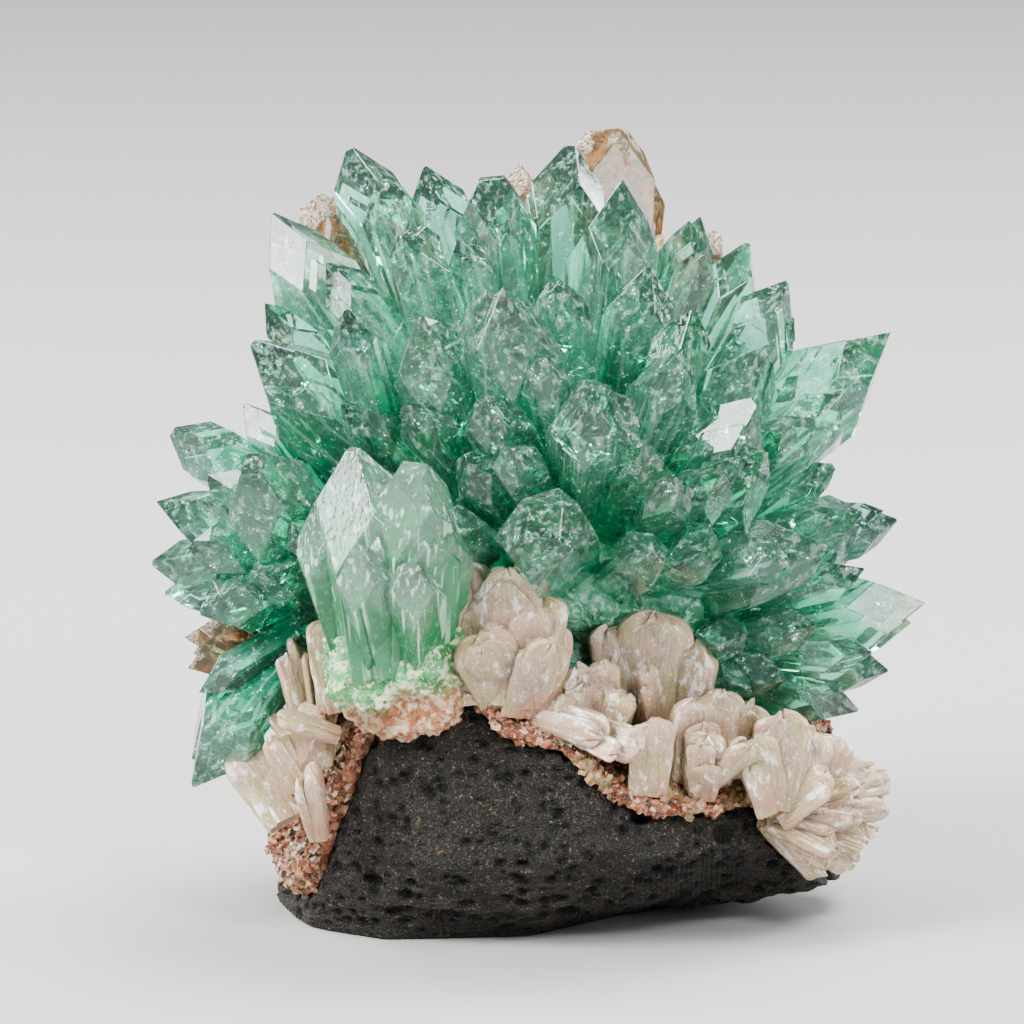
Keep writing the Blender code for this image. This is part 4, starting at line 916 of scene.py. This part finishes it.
class Nodes:
    """Short ways to add nodes to one material."""

    def __init__(self, name):
        self.material = bpy.data.materials.new(name)
        self.material.use_nodes = True
        self.tree = self.material.node_tree
        self.shader = self.tree.nodes["Principled BSDF"]
        self.output = self.tree.nodes["Material Output"]

    def add(self, kind, **settings):
        """A node of a kind, with its properties set."""
        node = self.tree.nodes.new(kind)
        for name, value in settings.items():
            setattr(node, name, value)
        return node

    def feed(self, socket, value):
        """Link an input to an output, or set its number or colour."""
        if isinstance(value, bpy.types.NodeSocket):
            self.tree.links.new(value, socket)
        elif socket.type == "RGBA":
            socket.default_value = (*value, 1.0)
        else:
            socket.default_value = value

    def set(self, node, **values):
        """Feed a node's inputs; an underscore in a name stands for a space."""
        for name, value in values.items():
            self.feed(node.inputs[name.replace("_", " ")], value)
        return node

    def finished(self, **values):
        """The material, once the shader's inputs are fed."""
        self.set(self.shader, **values)
        return self.material

    def local(self):
        """Place in the own frame of a crystal or leaf, in millimetres."""
        return self.add("ShaderNodeAttribute", attribute_name="local").outputs["Vector"]

    def held(self, name):
        """A number that the mesh holds."""
        return self.add("ShaderNodeAttribute", attribute_name=name).outputs["Fac"]

    def place(self):
        """Place on the model, in millimetres."""
        return self.stretched(self.add("ShaderNodeTexCoord").outputs["Object"], (1.0 / MM,) * 3)

    def stretched(self, vector, scale):
        """A coordinate with its axes scaled."""
        return self.set(self.add("ShaderNodeMapping"), Vector=vector, Scale=scale).outputs["Vector"]

    def split(self, vector):
        """The three numbers of a vector or colour."""
        return self.set(self.add("ShaderNodeSeparateXYZ"), Vector=vector).outputs

    def noise(self, vector, scale, detail=3.0, roughness=0.5):
        """Noise between 0 and 1."""
        node = self.add("ShaderNodeTexNoise")
        return self.set(node, Vector=vector, Scale=scale, Detail=detail, Roughness=roughness).outputs["Fac"]

    def cells(self, vector, scale):
        """The distance to the middle of the nearest of many cells, and that cell's own colour."""
        node = self.set(self.add("ShaderNodeTexVoronoi"), Vector=vector, Scale=scale)
        return node.outputs["Distance"], node.outputs["Color"]

    def span(self, value, low, high, new_low=0.0, new_high=1.0):
        """Map a value from one range to another, clamped."""
        node = self.add("ShaderNodeMapRange")
        self.set(node, Value=value, From_Min=low, From_Max=high, To_Min=new_low, To_Max=new_high)
        return node.outputs["Result"]

    def window(self, value, begins, full, fades, ends):
        """1 in the middle of a range of values, falling to 0 at both its ends."""
        return self.times(self.span(value, begins, full), self.span(value, fades, ends, 1.0, 0.0))

    def math(self, operation, first, second):
        """One arithmetic step."""
        node = self.add("ShaderNodeMath", operation=operation)
        self.feed(node.inputs[0], first)
        self.feed(node.inputs[1], second)
        return node.outputs[0]

    def plus(self, first, second):
        """Sum of two values."""
        return self.math("ADD", first, second)

    def minus(self, first, second):
        """Difference of two values."""
        return self.math("SUBTRACT", first, second)

    def times(self, first, second):
        """Product of two values."""
        return self.math("MULTIPLY", first, second)

    def larger(self, first, second):
        """The larger of two values."""
        return self.math("MAXIMUM", first, second)

    def mix(self, factor, first, second):
        """Blend of two colours."""
        node = self.add("ShaderNodeMix", data_type="RGBA")
        for number, value in ((0, factor), (6, first), (7, second)):
            self.feed(node.inputs[number], value)
        return node.outputs[2]

    def layered(self, color, *layers):
        """A colour under others; each layer is how much of it shows, and its colour."""
        for amount, over in layers:
            color = self.mix(amount, color, over)
        return color

    def bump(self, height, strength, depth, under=None):
        """Relief of a height that counts depth millimetres, on top of another relief."""
        node = self.set(self.add("ShaderNodeBump"), Height=height, Strength=strength, Distance=depth * MM)
        if under is not None:
            self.set(node, Normal=under)
        return node.outputs["Normal"]


def clear_material(name, tints, passes, absorption, streaked=0.25, mottled=1.0, lined=False):
    """Glassy crystal: plain index and absorption, cloudy near its root and clear near its tip.

    tints are the colours of the cloudy and the clear end, and passes is how much light goes through there.
    absorption is a colour and a density. Cloudy patches, tiny white flecks and lengthwise streaks break up
    the faces; a lined crystal has fine ridges too.
    """
    nodes = Nodes(name)
    deep, pale = tints
    color, density = absorption
    body = nodes.set(nodes.add("ShaderNodeVolumeAbsorption"), Color=color, Density=density)
    nodes.set(nodes.output, Volume=body.outputs["Volume"])
    local = nodes.local()
    height = nodes.plus(nodes.held("share"), nodes.times(nodes.noise(local, 0.35, 1.0), 0.5))
    mottle = nodes.noise(local, 1.1, 3.0, 0.75)
    patches = nodes.span(mottle, 0.54, 0.66, 0.0, mottled)
    flecks = nodes.times(nodes.span(nodes.noise(local, 4.5, 0.0), 0.63, 0.69), patches)
    streaks = nodes.span(nodes.noise(nodes.stretched(local, (1.6, 1.6, 0.12)), 1.0, 1.0), 0.58, 0.68)
    own_tone = nodes.noise(nodes.stretched(local, (0.02, 0.02, 0.02)), 1.0, 0.0)
    color = nodes.layered(
        deep,
        (nodes.span(own_tone, 0.50, 0.70, 0.0, 0.5), tuple(channel ** 1.35 for channel in deep)),
        (nodes.span(height, 0.70, 1.15), pale),
        (nodes.times(patches, 0.45), (0.46, 0.90, 0.76)),
        (nodes.times(streaks, streaked), (0.86, 0.96, 0.90)),
        (flecks, (0.95, 1.0, 0.97)),
    )
    veiled = nodes.larger(nodes.times(patches, 0.22), nodes.times(flecks, 0.8))
    veiled = nodes.larger(veiled, nodes.times(streaks, streaked * 0.6))
    if lined:
        lines = nodes.noise(nodes.stretched(local, (2.5, 2.5, 0.3)), 1.0, 1.0)
        nodes.set(nodes.shader, Normal=nodes.bump(lines, 0.4, 0.08))
    return nodes.finished(
        Base_Color=color,
        Transmission_Weight=nodes.minus(nodes.span(height, 0.72, 1.15, *passes), veiled),
        Roughness=nodes.span(mottle, 0.48, 0.70, 0.02, 0.20),
        IOR=APOPHYLLITE_IOR,
    )


def stained_material():
    """Iron stained crystal: grey brown and glassy, with rust and grey grains near its tip."""
    nodes = Nodes("stained apophyllite")
    local = nodes.local()
    cloud = nodes.noise(local, 0.45, 2.0, 0.6)
    grain = nodes.noise(local, 3.2, 2.0, 0.65)
    height = nodes.plus(nodes.held("share"), nodes.times(cloud, 0.5))
    rusty = nodes.span(nodes.noise(local, 0.8, 3.0), 0.52, 0.66)
    crusted = nodes.times(nodes.span(height, 1.02, 1.14), nodes.span(grain, 0.35, 0.55))
    covered = nodes.larger(crusted, nodes.times(rusty, 0.6))
    color = nodes.layered(
        (0.42, 0.27, 0.14),
        (nodes.span(cloud, 0.35, 0.65), (0.34, 0.33, 0.22)),
        (rusty, (0.36, 0.12, 0.04)),
        (crusted, nodes.mix(nodes.span(grain, 0.45, 0.62), (0.40, 0.26, 0.17), (0.62, 0.58, 0.52))),
    )
    return nodes.finished(
        Base_Color=color,
        Transmission_Weight=nodes.span(covered, 0.0, 0.8, 0.85, 0.1),
        Roughness=nodes.span(crusted, 0.0, 1.0, 0.10, 0.75),
        Normal=nodes.bump(nodes.times(grain, crusted), 0.9, 0.35),
        IOR=APOPHYLLITE_IOR,
    )


def basalt_material():
    """Near black, fine grained, with ochre specks, pale grains, painted shade in the pores and pits, and saw
    lines low on the front.
    """
    nodes = Nodes("basalt")
    place = nodes.place()
    across, _, height = nodes.split(place)
    fine = nodes.noise(place, 4.5, 2.0, 0.65)
    broad = nodes.noise(place, 0.22, 3.0, 0.6)
    grit = nodes.noise(place, 7.0, 1.0)
    ochre = nodes.times(nodes.span(nodes.noise(place, 2.2, 2.0), 0.60, 0.68), nodes.span(broad, 0.35, 0.6))
    streak = nodes.noise(nodes.stretched(place, (0.5, 0.5, 2.4)), 1.1, 3.0, 0.6)
    lowness = nodes.span(nodes.plus(height, nodes.times(broad, 6.0)), 8.0, 13.0, 1.0, 0.0)
    distance, cell = nodes.cells(nodes.stretched(place, (1.0, 1.0, 1.6)), 0.85)
    # Pits: small dips in the relief; their near black colour is painted shade.
    shaded_pits = nodes.times(
        nodes.span(distance, 0.20, 0.30, 1.0, 0.0), nodes.span(nodes.split(cell)[0], 0.35, 0.4)
    )
    shaded_pits = nodes.times(shaded_pits, nodes.span(fine, 0.36, 0.50))
    color = nodes.layered(
        (0.004, 0.0038, 0.0036),
        (nodes.span(fine, 0.3, 0.75), (0.024, 0.021, 0.018)),
        (nodes.span(broad, 0.4, 0.7, 0.0, 0.5), (0.014, 0.012, 0.010)),
        (ochre, (0.12, 0.075, 0.03)),
        (nodes.span(nodes.noise(place, 3.1, 2.0), 0.65, 0.71, 0.0, 0.8), (0.22, 0.20, 0.17)),
        (nodes.times(lowness, nodes.span(streak, 0.52, 0.66, 0.0, 0.6)), (0.07, 0.05, 0.03)),
        # Painted shade: near black deep in the pressed pores.
        (nodes.span(nodes.held("shaded_hollow"), 0.05, 0.45), (0.001, 0.001, 0.001)),
        # Painted shade: near black in the pits.
        (shaded_pits, (0.001, 0.001, 0.001)),
        (nodes.span(grit, 0.58, 0.68, 0.0, 0.55), (0.10, 0.09, 0.075)),
    )
    saw = nodes.add("ShaderNodeTexWave", wave_type="BANDS", bands_direction="X")
    nodes.set(saw, Vector=nodes.stretched(place, (1.0, 0.0, 0.18)), Scale=0.62, Distortion=1.2, Detail=2.0)
    sawn = nodes.times(nodes.window(across, 4.0, 6.0, 19.0, 22.0), nodes.span(fine, 0.35, 0.6))
    sawn = nodes.times(sawn, nodes.window(height, 3.0, 4.5, 9.0, 11.0))
    relief = nodes.bump(nodes.times(saw.outputs["Fac"], sawn), 0.8, 0.12)
    relief = nodes.bump(nodes.times(streak, lowness), 0.6, 0.35, relief)
    rough = nodes.minus(nodes.plus(fine, nodes.times(grit, 0.3)), shaded_pits)
    return nodes.finished(
        Base_Color=color,
        Roughness=nodes.span(grit, 0.4, 0.7, 0.85, 0.35),
        Normal=nodes.bump(rough, 1.0, 0.45, relief),
    )


def crust_material():
    """Salmon, rust, cream and grey-white grains, some of them glassy."""
    nodes = Nodes("druse")
    place = nodes.place()
    distance, cell = nodes.cells(place, 1.5)
    tone, other, shine = nodes.split(cell)
    broad = nodes.noise(place, 0.22, 3.0, 0.6)
    fine = nodes.noise(place, 5.0, 2.0, 0.6)
    tone = nodes.plus(tone, nodes.times(nodes.minus(broad, 0.5), 0.9))
    color = nodes.layered(
        (0.17, 0.050, 0.018),
        (nodes.span(tone, 0.28, 0.36), (0.33, 0.13, 0.070)),
        (nodes.span(tone, 0.58, 0.64), (0.38, 0.19, 0.115)),
        (nodes.span(tone, 0.80, 0.86), (0.52, 0.40, 0.31)),
        (nodes.span(other, 0.84, 0.88), (0.07, 0.035, 0.02)),
        (nodes.span(nodes.noise(place, 0.16, 2.0), 0.60, 0.70, 0.0, 0.35), (0.42, 0.43, 0.18)),
        (nodes.span(fine, 0.5, 0.75, 0.0, 0.35), (0.78, 0.68, 0.58)),
    )
    return nodes.finished(
        Base_Color=color,
        Roughness=nodes.span(shine, 0.55, 0.8, 0.7, 0.12),
        Normal=nodes.bump(fine, 0.7, 0.10, nodes.bump(distance, 0.5, 0.25)),
    )


def stilbite_material(name, lined):
    """Pearly cream blades: beige and faintly pink, with light and white patches of painted pearly sheen on
    the cleavage, and rusty feet.

    lined is how strongly the fine lengthwise lines show.
    """
    nodes = Nodes(name)
    local = nodes.local()
    place = nodes.place()
    fibres = nodes.noise(nodes.stretched(local, (5.0, 1.5, 0.30)), 1.0, 2.0, 0.65)
    patches = nodes.noise(nodes.stretched(local, (0.9, 0.9, 0.5)), 1.0, 3.0, 0.62)
    broad = nodes.noise(place, 0.28, 2.0, 0.6)
    grain = nodes.noise(place, 3.0, 2.0, 0.6)
    stained = nodes.times(
        nodes.span(nodes.held("share"), 0.0, 0.42, 0.9, 0.0), nodes.span(broad, 0.40, 0.56)
    )
    color = nodes.layered(
        (0.42, 0.33, 0.19),
        (nodes.span(broad, 0.42, 0.58), (0.47, 0.31, 0.23)),
        # Painted highlight: light and white patches stand for the pearly sheen of the cleavage faces.
        (nodes.span(patches, 0.50, 0.60, 0.0, 0.5), (0.60, 0.49, 0.40)),
        (nodes.span(patches, 0.58, 0.65, 0.0, 0.85), (0.86, 0.83, 0.80)),
        (nodes.span(fibres, 0.54, 0.72, 0.0, lined), (0.74, 0.66, 0.56)),
        (nodes.span(fibres, 0.30, 0.46, lined, 0.0), (0.20, 0.13, 0.08)),
        (nodes.span(grain, 0.62, 0.70, 0.0, 0.55), (0.90, 0.88, 0.84)),
        (nodes.span(grain, 0.28, 0.38, 0.45, 0.0), (0.30, 0.20, 0.13)),
        (nodes.times(stained, nodes.span(grain, 0.3, 0.6)), (0.40, 0.15, 0.06)),
    )
    uneven = nodes.plus(patches, nodes.times(grain, 0.4))
    return nodes.finished(
        Base_Color=color,
        Roughness=nodes.span(patches, 0.45, 0.62, 0.42, 0.14),
        Normal=nodes.bump(uneven, 0.6, 0.35, nodes.bump(fibres, lined, 0.08)),
        Subsurface_Weight=0.30,
        Subsurface_Radius=(1.0, 0.75, 0.55),
        Subsurface_Scale=1.8 * MM,
        Coat_Weight=0.35,
        Coat_Roughness=0.12,
    )


def mossy_material():
    """Moss green and cream above, cream and rust below, as at the foot of the milky column."""
    nodes = Nodes("mossy root")
    place = nodes.place()
    across, _, height = nodes.split(place)
    broad = nodes.noise(place, 0.40, 2.0, 0.6)
    mottle = nodes.noise(place, 1.0, 3.0, 0.6)
    fine = nodes.noise(place, 3.2, 2.0, 0.65)
    low = nodes.plus(nodes.minus(nodes.times(broad, 9.0), height), nodes.times(across, 0.35))
    color = nodes.layered(
        (0.05, 0.22, 0.07),
        (nodes.span(broad, 0.38, 0.60), (0.16, 0.42, 0.18)),
        (nodes.span(mottle, 0.50, 0.58), (0.56, 0.64, 0.42)),
        (nodes.span(fine, 0.60, 0.68), (0.80, 0.84, 0.72)),
        (nodes.span(low, -28.5, -25.5),
         nodes.mix(nodes.span(mottle, 0.44, 0.56), (0.36, 0.15, 0.07), (0.60, 0.46, 0.34))),
    )
    return nodes.finished(
        Base_Color=color,
        Roughness=nodes.span(fine, 0.4, 0.7, 0.7, 0.25),
        Normal=nodes.bump(fine, 0.9, 0.2, nodes.bump(mottle, 0.8, 0.5)),
    )


def core_material():
    """Cloudy deep green mass in which the crystals of a spray are rooted."""
    nodes = Nodes("cloudy root")
    place = nodes.place()
    broad = nodes.noise(place, 0.25, 1.0)
    fine = nodes.noise(place, 1.6, 2.0, 0.6)
    color = nodes.layered(
        (0.05, 0.24, 0.13),
        (nodes.span(broad, 0.35, 0.62), (0.22, 0.55, 0.38)),
        (nodes.span(fine, 0.50, 0.66, 0.0, 0.7), (0.62, 0.85, 0.74)),
    )
    return nodes.finished(
        Base_Color=color,
        Roughness=nodes.span(fine, 0.4, 0.65, 0.55, 0.12),
        Normal=nodes.bump(fine, 0.8, 0.5),
    )


# Pieces of the cluster

def dress(piece, slot, *nodes):
    """Let a piece stand for solids of the frame."""
    if nodes:
        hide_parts(*nodes)
    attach(piece, "root")
    return piece


WIDTH_PER_SHOULDER = 3.2
VEILS_BY_WIDTH = 0.7


def add_spray(name, crystals, material, slot, node):
    """A spray of crystals grown together, with the veils inside them, as one piece."""
    meshes = []
    veil_pile = Pile()
    for crystal in crystals:
        shoulders = int(crystal.width / WIDTH_PER_SHOULDER)
        veils = int(VEILS_BY_WIDTH * crystal.width)
        meshes += crystal_meshes(crystal, shoulders, veils, veil_pile)
    grown = union(name, meshes)
    body = bmesh.new()
    body.from_mesh(grown)
    body.from_mesh(veil_pile.mesh("veils"))
    body.to_mesh(grown)
    body.free()
    dress(put(name, grown, material), slot, node)


# Green groups beside the main spray: name, rows, root and first seed.
GREEN_GROUPS = (
    ("left_spray", LEFT_CRYSTALS, LEFT_ROOT, 200),
    ("lower_right_spray", LOWER_RIGHT_CRYSTALS, LOWER_RIGHT_ROOT, 270),
    ("lower_left", LOWER_LEFT_CRYSTALS, LOWER_LEFT_ROOT, 230),
)
GREEN_TINTS = ((0.09, 0.47, 0.31), (0.74, 0.95, 0.87))
MILKY_TINTS = ((0.13, 0.44, 0.23), (0.70, 0.92, 0.80))
WHITE_TINTS = ((0.85, 0.86, 0.84), (0.97, 0.98, 0.97))
GREEN_ABSORPTION = (0.13, 0.875, 0.70)


def add_sprays():
    """Every group of crystals."""
    green = clear_material("green apophyllite", GREEN_TINTS, (0.78, 0.97), (GREEN_ABSORPTION, 130.0))
    milky = clear_material(
        "milky apophyllite", MILKY_TINTS, (0.55, 0.90), (GREEN_ABSORPTION, 80.0),
        streaked=0.5, mottled=0.3, lined=True,
    )
    brown = stained_material()
    white = clear_material("clear splinter", WHITE_TINTS, (0.3, 0.6), ((0.9, 0.95, 0.92), 10.0))
    add_spray("main_spray", main_spray_crystals(), green, "apophyllite", "apophyllite_main_spray")
    for name, rows, root, first_seed in GREEN_GROUPS:
        add_spray(name, crystals_of(rows, root, first_seed), green, "apophyllite", f"apophyllite_{name}")
    column = crystals_of(COLUMN_CRYSTALS, COLUMN_ROOT, 250, COLUMN_TAPER)
    add_spray("front_column", column, milky, "milky_apophyllite", "apophyllite_front_column")
    for number, (side, rows) in enumerate(BROWN_GROUPS.items()):
        crystals = crystals_of(rows, MAIN_ROOT, 300 + 10 * number)
        add_spray(f"brown_{side}", crystals, brown, "stained_apophyllite", f"brown_crystals_{side}")
    stained = crystals_of(STAINED_LEFT_CRYSTALS, LEFT_ROOT, 340)
    add_spray("stained_left", stained, brown, "stained_apophyllite", "stained_crystals_left")
    splinter = crystals_of(SPLINTER, MAIN_ROOT, 350)
    add_spray("splinter", splinter, white, "clear_splinter", "white_splinter")


def core_relief(place):
    """Height of the lumpy root mass of a spray."""
    return 2.2 * noise.noise(place * 0.16) + 0.9 * knobs(place, 0.22) + 0.25 * noise.noise(place * 0.9)


def root_relief(place):
    """Height of the root mass of a small spray."""
    return 0.8 * noise.noise(place * 0.35) + 0.2 * noise.noise(place * 1.2)


def moss_relief(place):
    """Height of the mossy, granular root of the column."""
    return 0.55 * knobs(place, 0.9) + 0.5 * noise.noise(place * 0.6) + 0.2 * noise.noise(place * 2.2)


LUMP_SWELL = 0.22


def add_lump(name, middle, radii, relief, fineness, seed, material, slot):
    """A rounded lump with a rough surface; its middle, as seen, and its radii are in millimetres."""
    bm = bmesh.new()
    bmesh.ops.create_icosphere(bm, subdivisions=fineness, radius=1.0)
    shift = Vector((seed, 0.0, 0.0))
    for vert in bm.verts:
        wide = 1.0 + LUMP_SWELL * noise.noise(vert.co * 1.7 + shift)
        vert.co = Vector((vert.co.x * radii[0], vert.co.y * radii[1], vert.co.z * radii[2])) * wide * MM
    bmesh.ops.translate(bm, verts=bm.verts, vec=seen(*middle))
    dress(put(name, smooth_mesh(name, pushed(bm, relief)), material), slot)



# The root masses: name, middle, radii, relief, fineness and seed.
CORE_LUMPS = (
    ("main_root", (4.0, 34.0, 8.0), (15.0, 14.0, 14.0), core_relief, 6, 15.3),
    ("left_root", LEFT_ROOT, (5.5, 5.0, 5.0), root_relief, 5, 15.3),
    ("lower_right_root", LOWER_RIGHT_ROOT, (5.0, 5.0, 4.0), root_relief, 5, 27.2),
)
COLUMN_LUMP = ("column_root", (-14.0, 25.4, 23.6), (7.4, 5.2, 7.6), moss_relief, 6, 18.7)
RUST_LUMP = ("rust_grains", (10.6, 65.2, 1.5), (1.8, 1.6, 1.6), moss_relief, 4, 18.7)


def add_lumps(druse):
    """The masses in which the crystals are rooted, and the lump of grains between the brown ones."""
    core = core_material()
    for lump in CORE_LUMPS:
        add_lump(*lump, core, "apophyllite")
    add_lump(*COLUMN_LUMP, mossy_material(), "milky_apophyllite")
    add_lump(*RUST_LUMP, druse, "stained_apophyllite")


# The groups of blades: node, rows and height of the ridges in millimetres.
STILBITE_GROUPS = (
    ("stilbite_left", STILBITE_LEFT, 0.12),
    ("stilbite_centre", STILBITE_CENTRE, 0.16),
    ("stilbite_right", STILBITE_RIGHT, 0.14),
)
SHEAF_RIDGE = 0.22
CLUMP_RIDGE = 0.10


def add_blades():
    """Every group of stilbite blades."""
    pearly = stilbite_material("stilbite", 0.35)
    fibrous = stilbite_material("fibrous stilbite", 0.95)
    for number, (node, rows, ridge) in enumerate(STILBITE_GROUPS):
        add_stilbite(node, blades_of(rows), ridge, pearly, 61 + number)
    add_stilbite("stilbite_sheaf", sheaf_blades(), SHEAF_RIDGE, fibrous, 64)
    for number, (angle, count) in enumerate(BACK_CLUMPS):
        node = f"stilbite_back_{number + 1}"
        add_stilbite(node, clump_blades(node, angle, count, 70 + number), CLUMP_RIDGE, pearly, 65 + number)


# The studio

CAMERA_LENS = 400.0
SENSOR = 36.0
CLIP = (0.05, 20.0)
FRAME_WIDTH = 102.4
FRAME_MIDDLE = (-3.3, 39.6, 0.0)
LIGHT_TARGET = (0.0, 38.0, 0.0)
# Soft boxes: name, place and size in metres, and watts.
LIGHTS = (
    ("key", (-0.42, -0.30, 0.50), (0.35, 0.35), 9.0),
    ("fill", (0.55, -0.35, 0.22), (0.2, 0.4), 2.6),
    ("front", (0.20, -0.50, 0.45), (0.16, 0.16), 2.4),
    ("left", (-0.60, -0.30, 0.12), (0.10, 0.40), 1.8),
    ("top", (0.12, 0.12, 0.60), (0.4, 0.3), 5.5),
    ("back_left", (-0.45, 0.30, 0.28), (0.2, 0.4), 3.4),
    ("back_right", (0.45, 0.30, 0.28), (0.2, 0.4), 3.4),
)
WORLD_COLOR = (0.30, 0.31, 0.32, 1.0)
WORLD_STRENGTH = 0.25
# The floor, in metres: half its width, its near and far end, and the bend and rise behind.
FLOOR_HALF_WIDTH = 3.0
FLOOR_ENDS = (-2.5, 1.1)
FLOOR_BEND = 0.5
FLOOR_RISE = 1.6
FLOOR_STEPS = 12
FLOOR_COLOR = (0.42, 0.42, 0.415)


def add_camera():
    """A long lens on the photograph's line of sight."""
    data = bpy.data.cameras.new("camera")
    data.lens = CAMERA_LENS
    data.sensor_width = SENSOR
    data.clip_start, data.clip_end = CLIP
    camera = shown("camera", data)
    distance = FRAME_WIDTH * CAMERA_LENS / SENSOR * MM
    camera.location = seen(*FRAME_MIDDLE) + TOWARD_VIEWER * distance
    camera.rotation_euler = (math.pi / 2.0 - PICTURE_TILT, 0.0, 0.0)
    bpy.context.scene.camera = camera


def add_light(name, place, size, watts):
    """A soft box that faces the cluster."""
    data = bpy.data.lights.new(name, "AREA")
    data.shape = "RECTANGLE"
    data.size, data.size_y = size
    data.energy = watts
    light = shown(name, data)
    light.location = place
    light.rotation_euler = (Vector(place) - seen(*LIGHT_TARGET)).to_track_quat("Z", "Y").to_euler()


def add_floor():
    """A plain pale floor that sweeps up behind the cluster."""
    near, far = FLOOR_ENDS
    profile = [(near, 0.0), (far, 0.0)]
    for step in range(1, FLOOR_STEPS + 1):
        turn = step / FLOOR_STEPS * math.pi / 2.0
        profile.append((far + FLOOR_BEND * math.sin(turn), FLOOR_BEND - FLOOR_BEND * math.cos(turn)))
    profile.append((far + FLOOR_BEND, FLOOR_RISE + FLOOR_BEND))
    bm = bmesh.new()
    rows = [[bm.verts.new((x, y, z)) for x in (-FLOOR_HALF_WIDTH, FLOOR_HALF_WIDTH)] for y, z in profile]
    for low, high in zip(rows, rows[1:]):
        bm.faces.new((low[0], low[1], high[1], high[0]))
    paper = Nodes("pale paper").finished(Base_Color=FLOOR_COLOR, Roughness=1.0, Specular_IOR_Level=0.0)
    put("floor", smooth_mesh("floor", bm), paper)


def add_world():
    """A dim grey surrounding."""
    world = bpy.data.worlds.new("studio")
    bpy.context.scene.world = world
    world.use_nodes = True
    world.node_tree.nodes["Background"].inputs["Color"].default_value = WORLD_COLOR
    world.node_tree.nodes["Background"].inputs["Strength"].default_value = WORLD_STRENGTH


def set_rendering():
    """Contrast, and as many bounces as the clear crystals need."""
    bpy.context.scene.view_settings.look = "AgX - Medium High Contrast"
    cycles = bpy.context.scene.cycles
    cycles.max_bounces = 6
    cycles.transmission_bounces = 6
    cycles.diffuse_bounces = 2
    cycles.use_light_tree = False
    cycles.light_sampling_threshold = 0.05


add_sprays()
druse = crust_material()
add_lumps(druse)
add_basalt()
add_crust(druse)
add_blades()

add_camera()
add_floor()
for light in LIGHTS:
    add_light(*light)
add_world()
set_rendering()
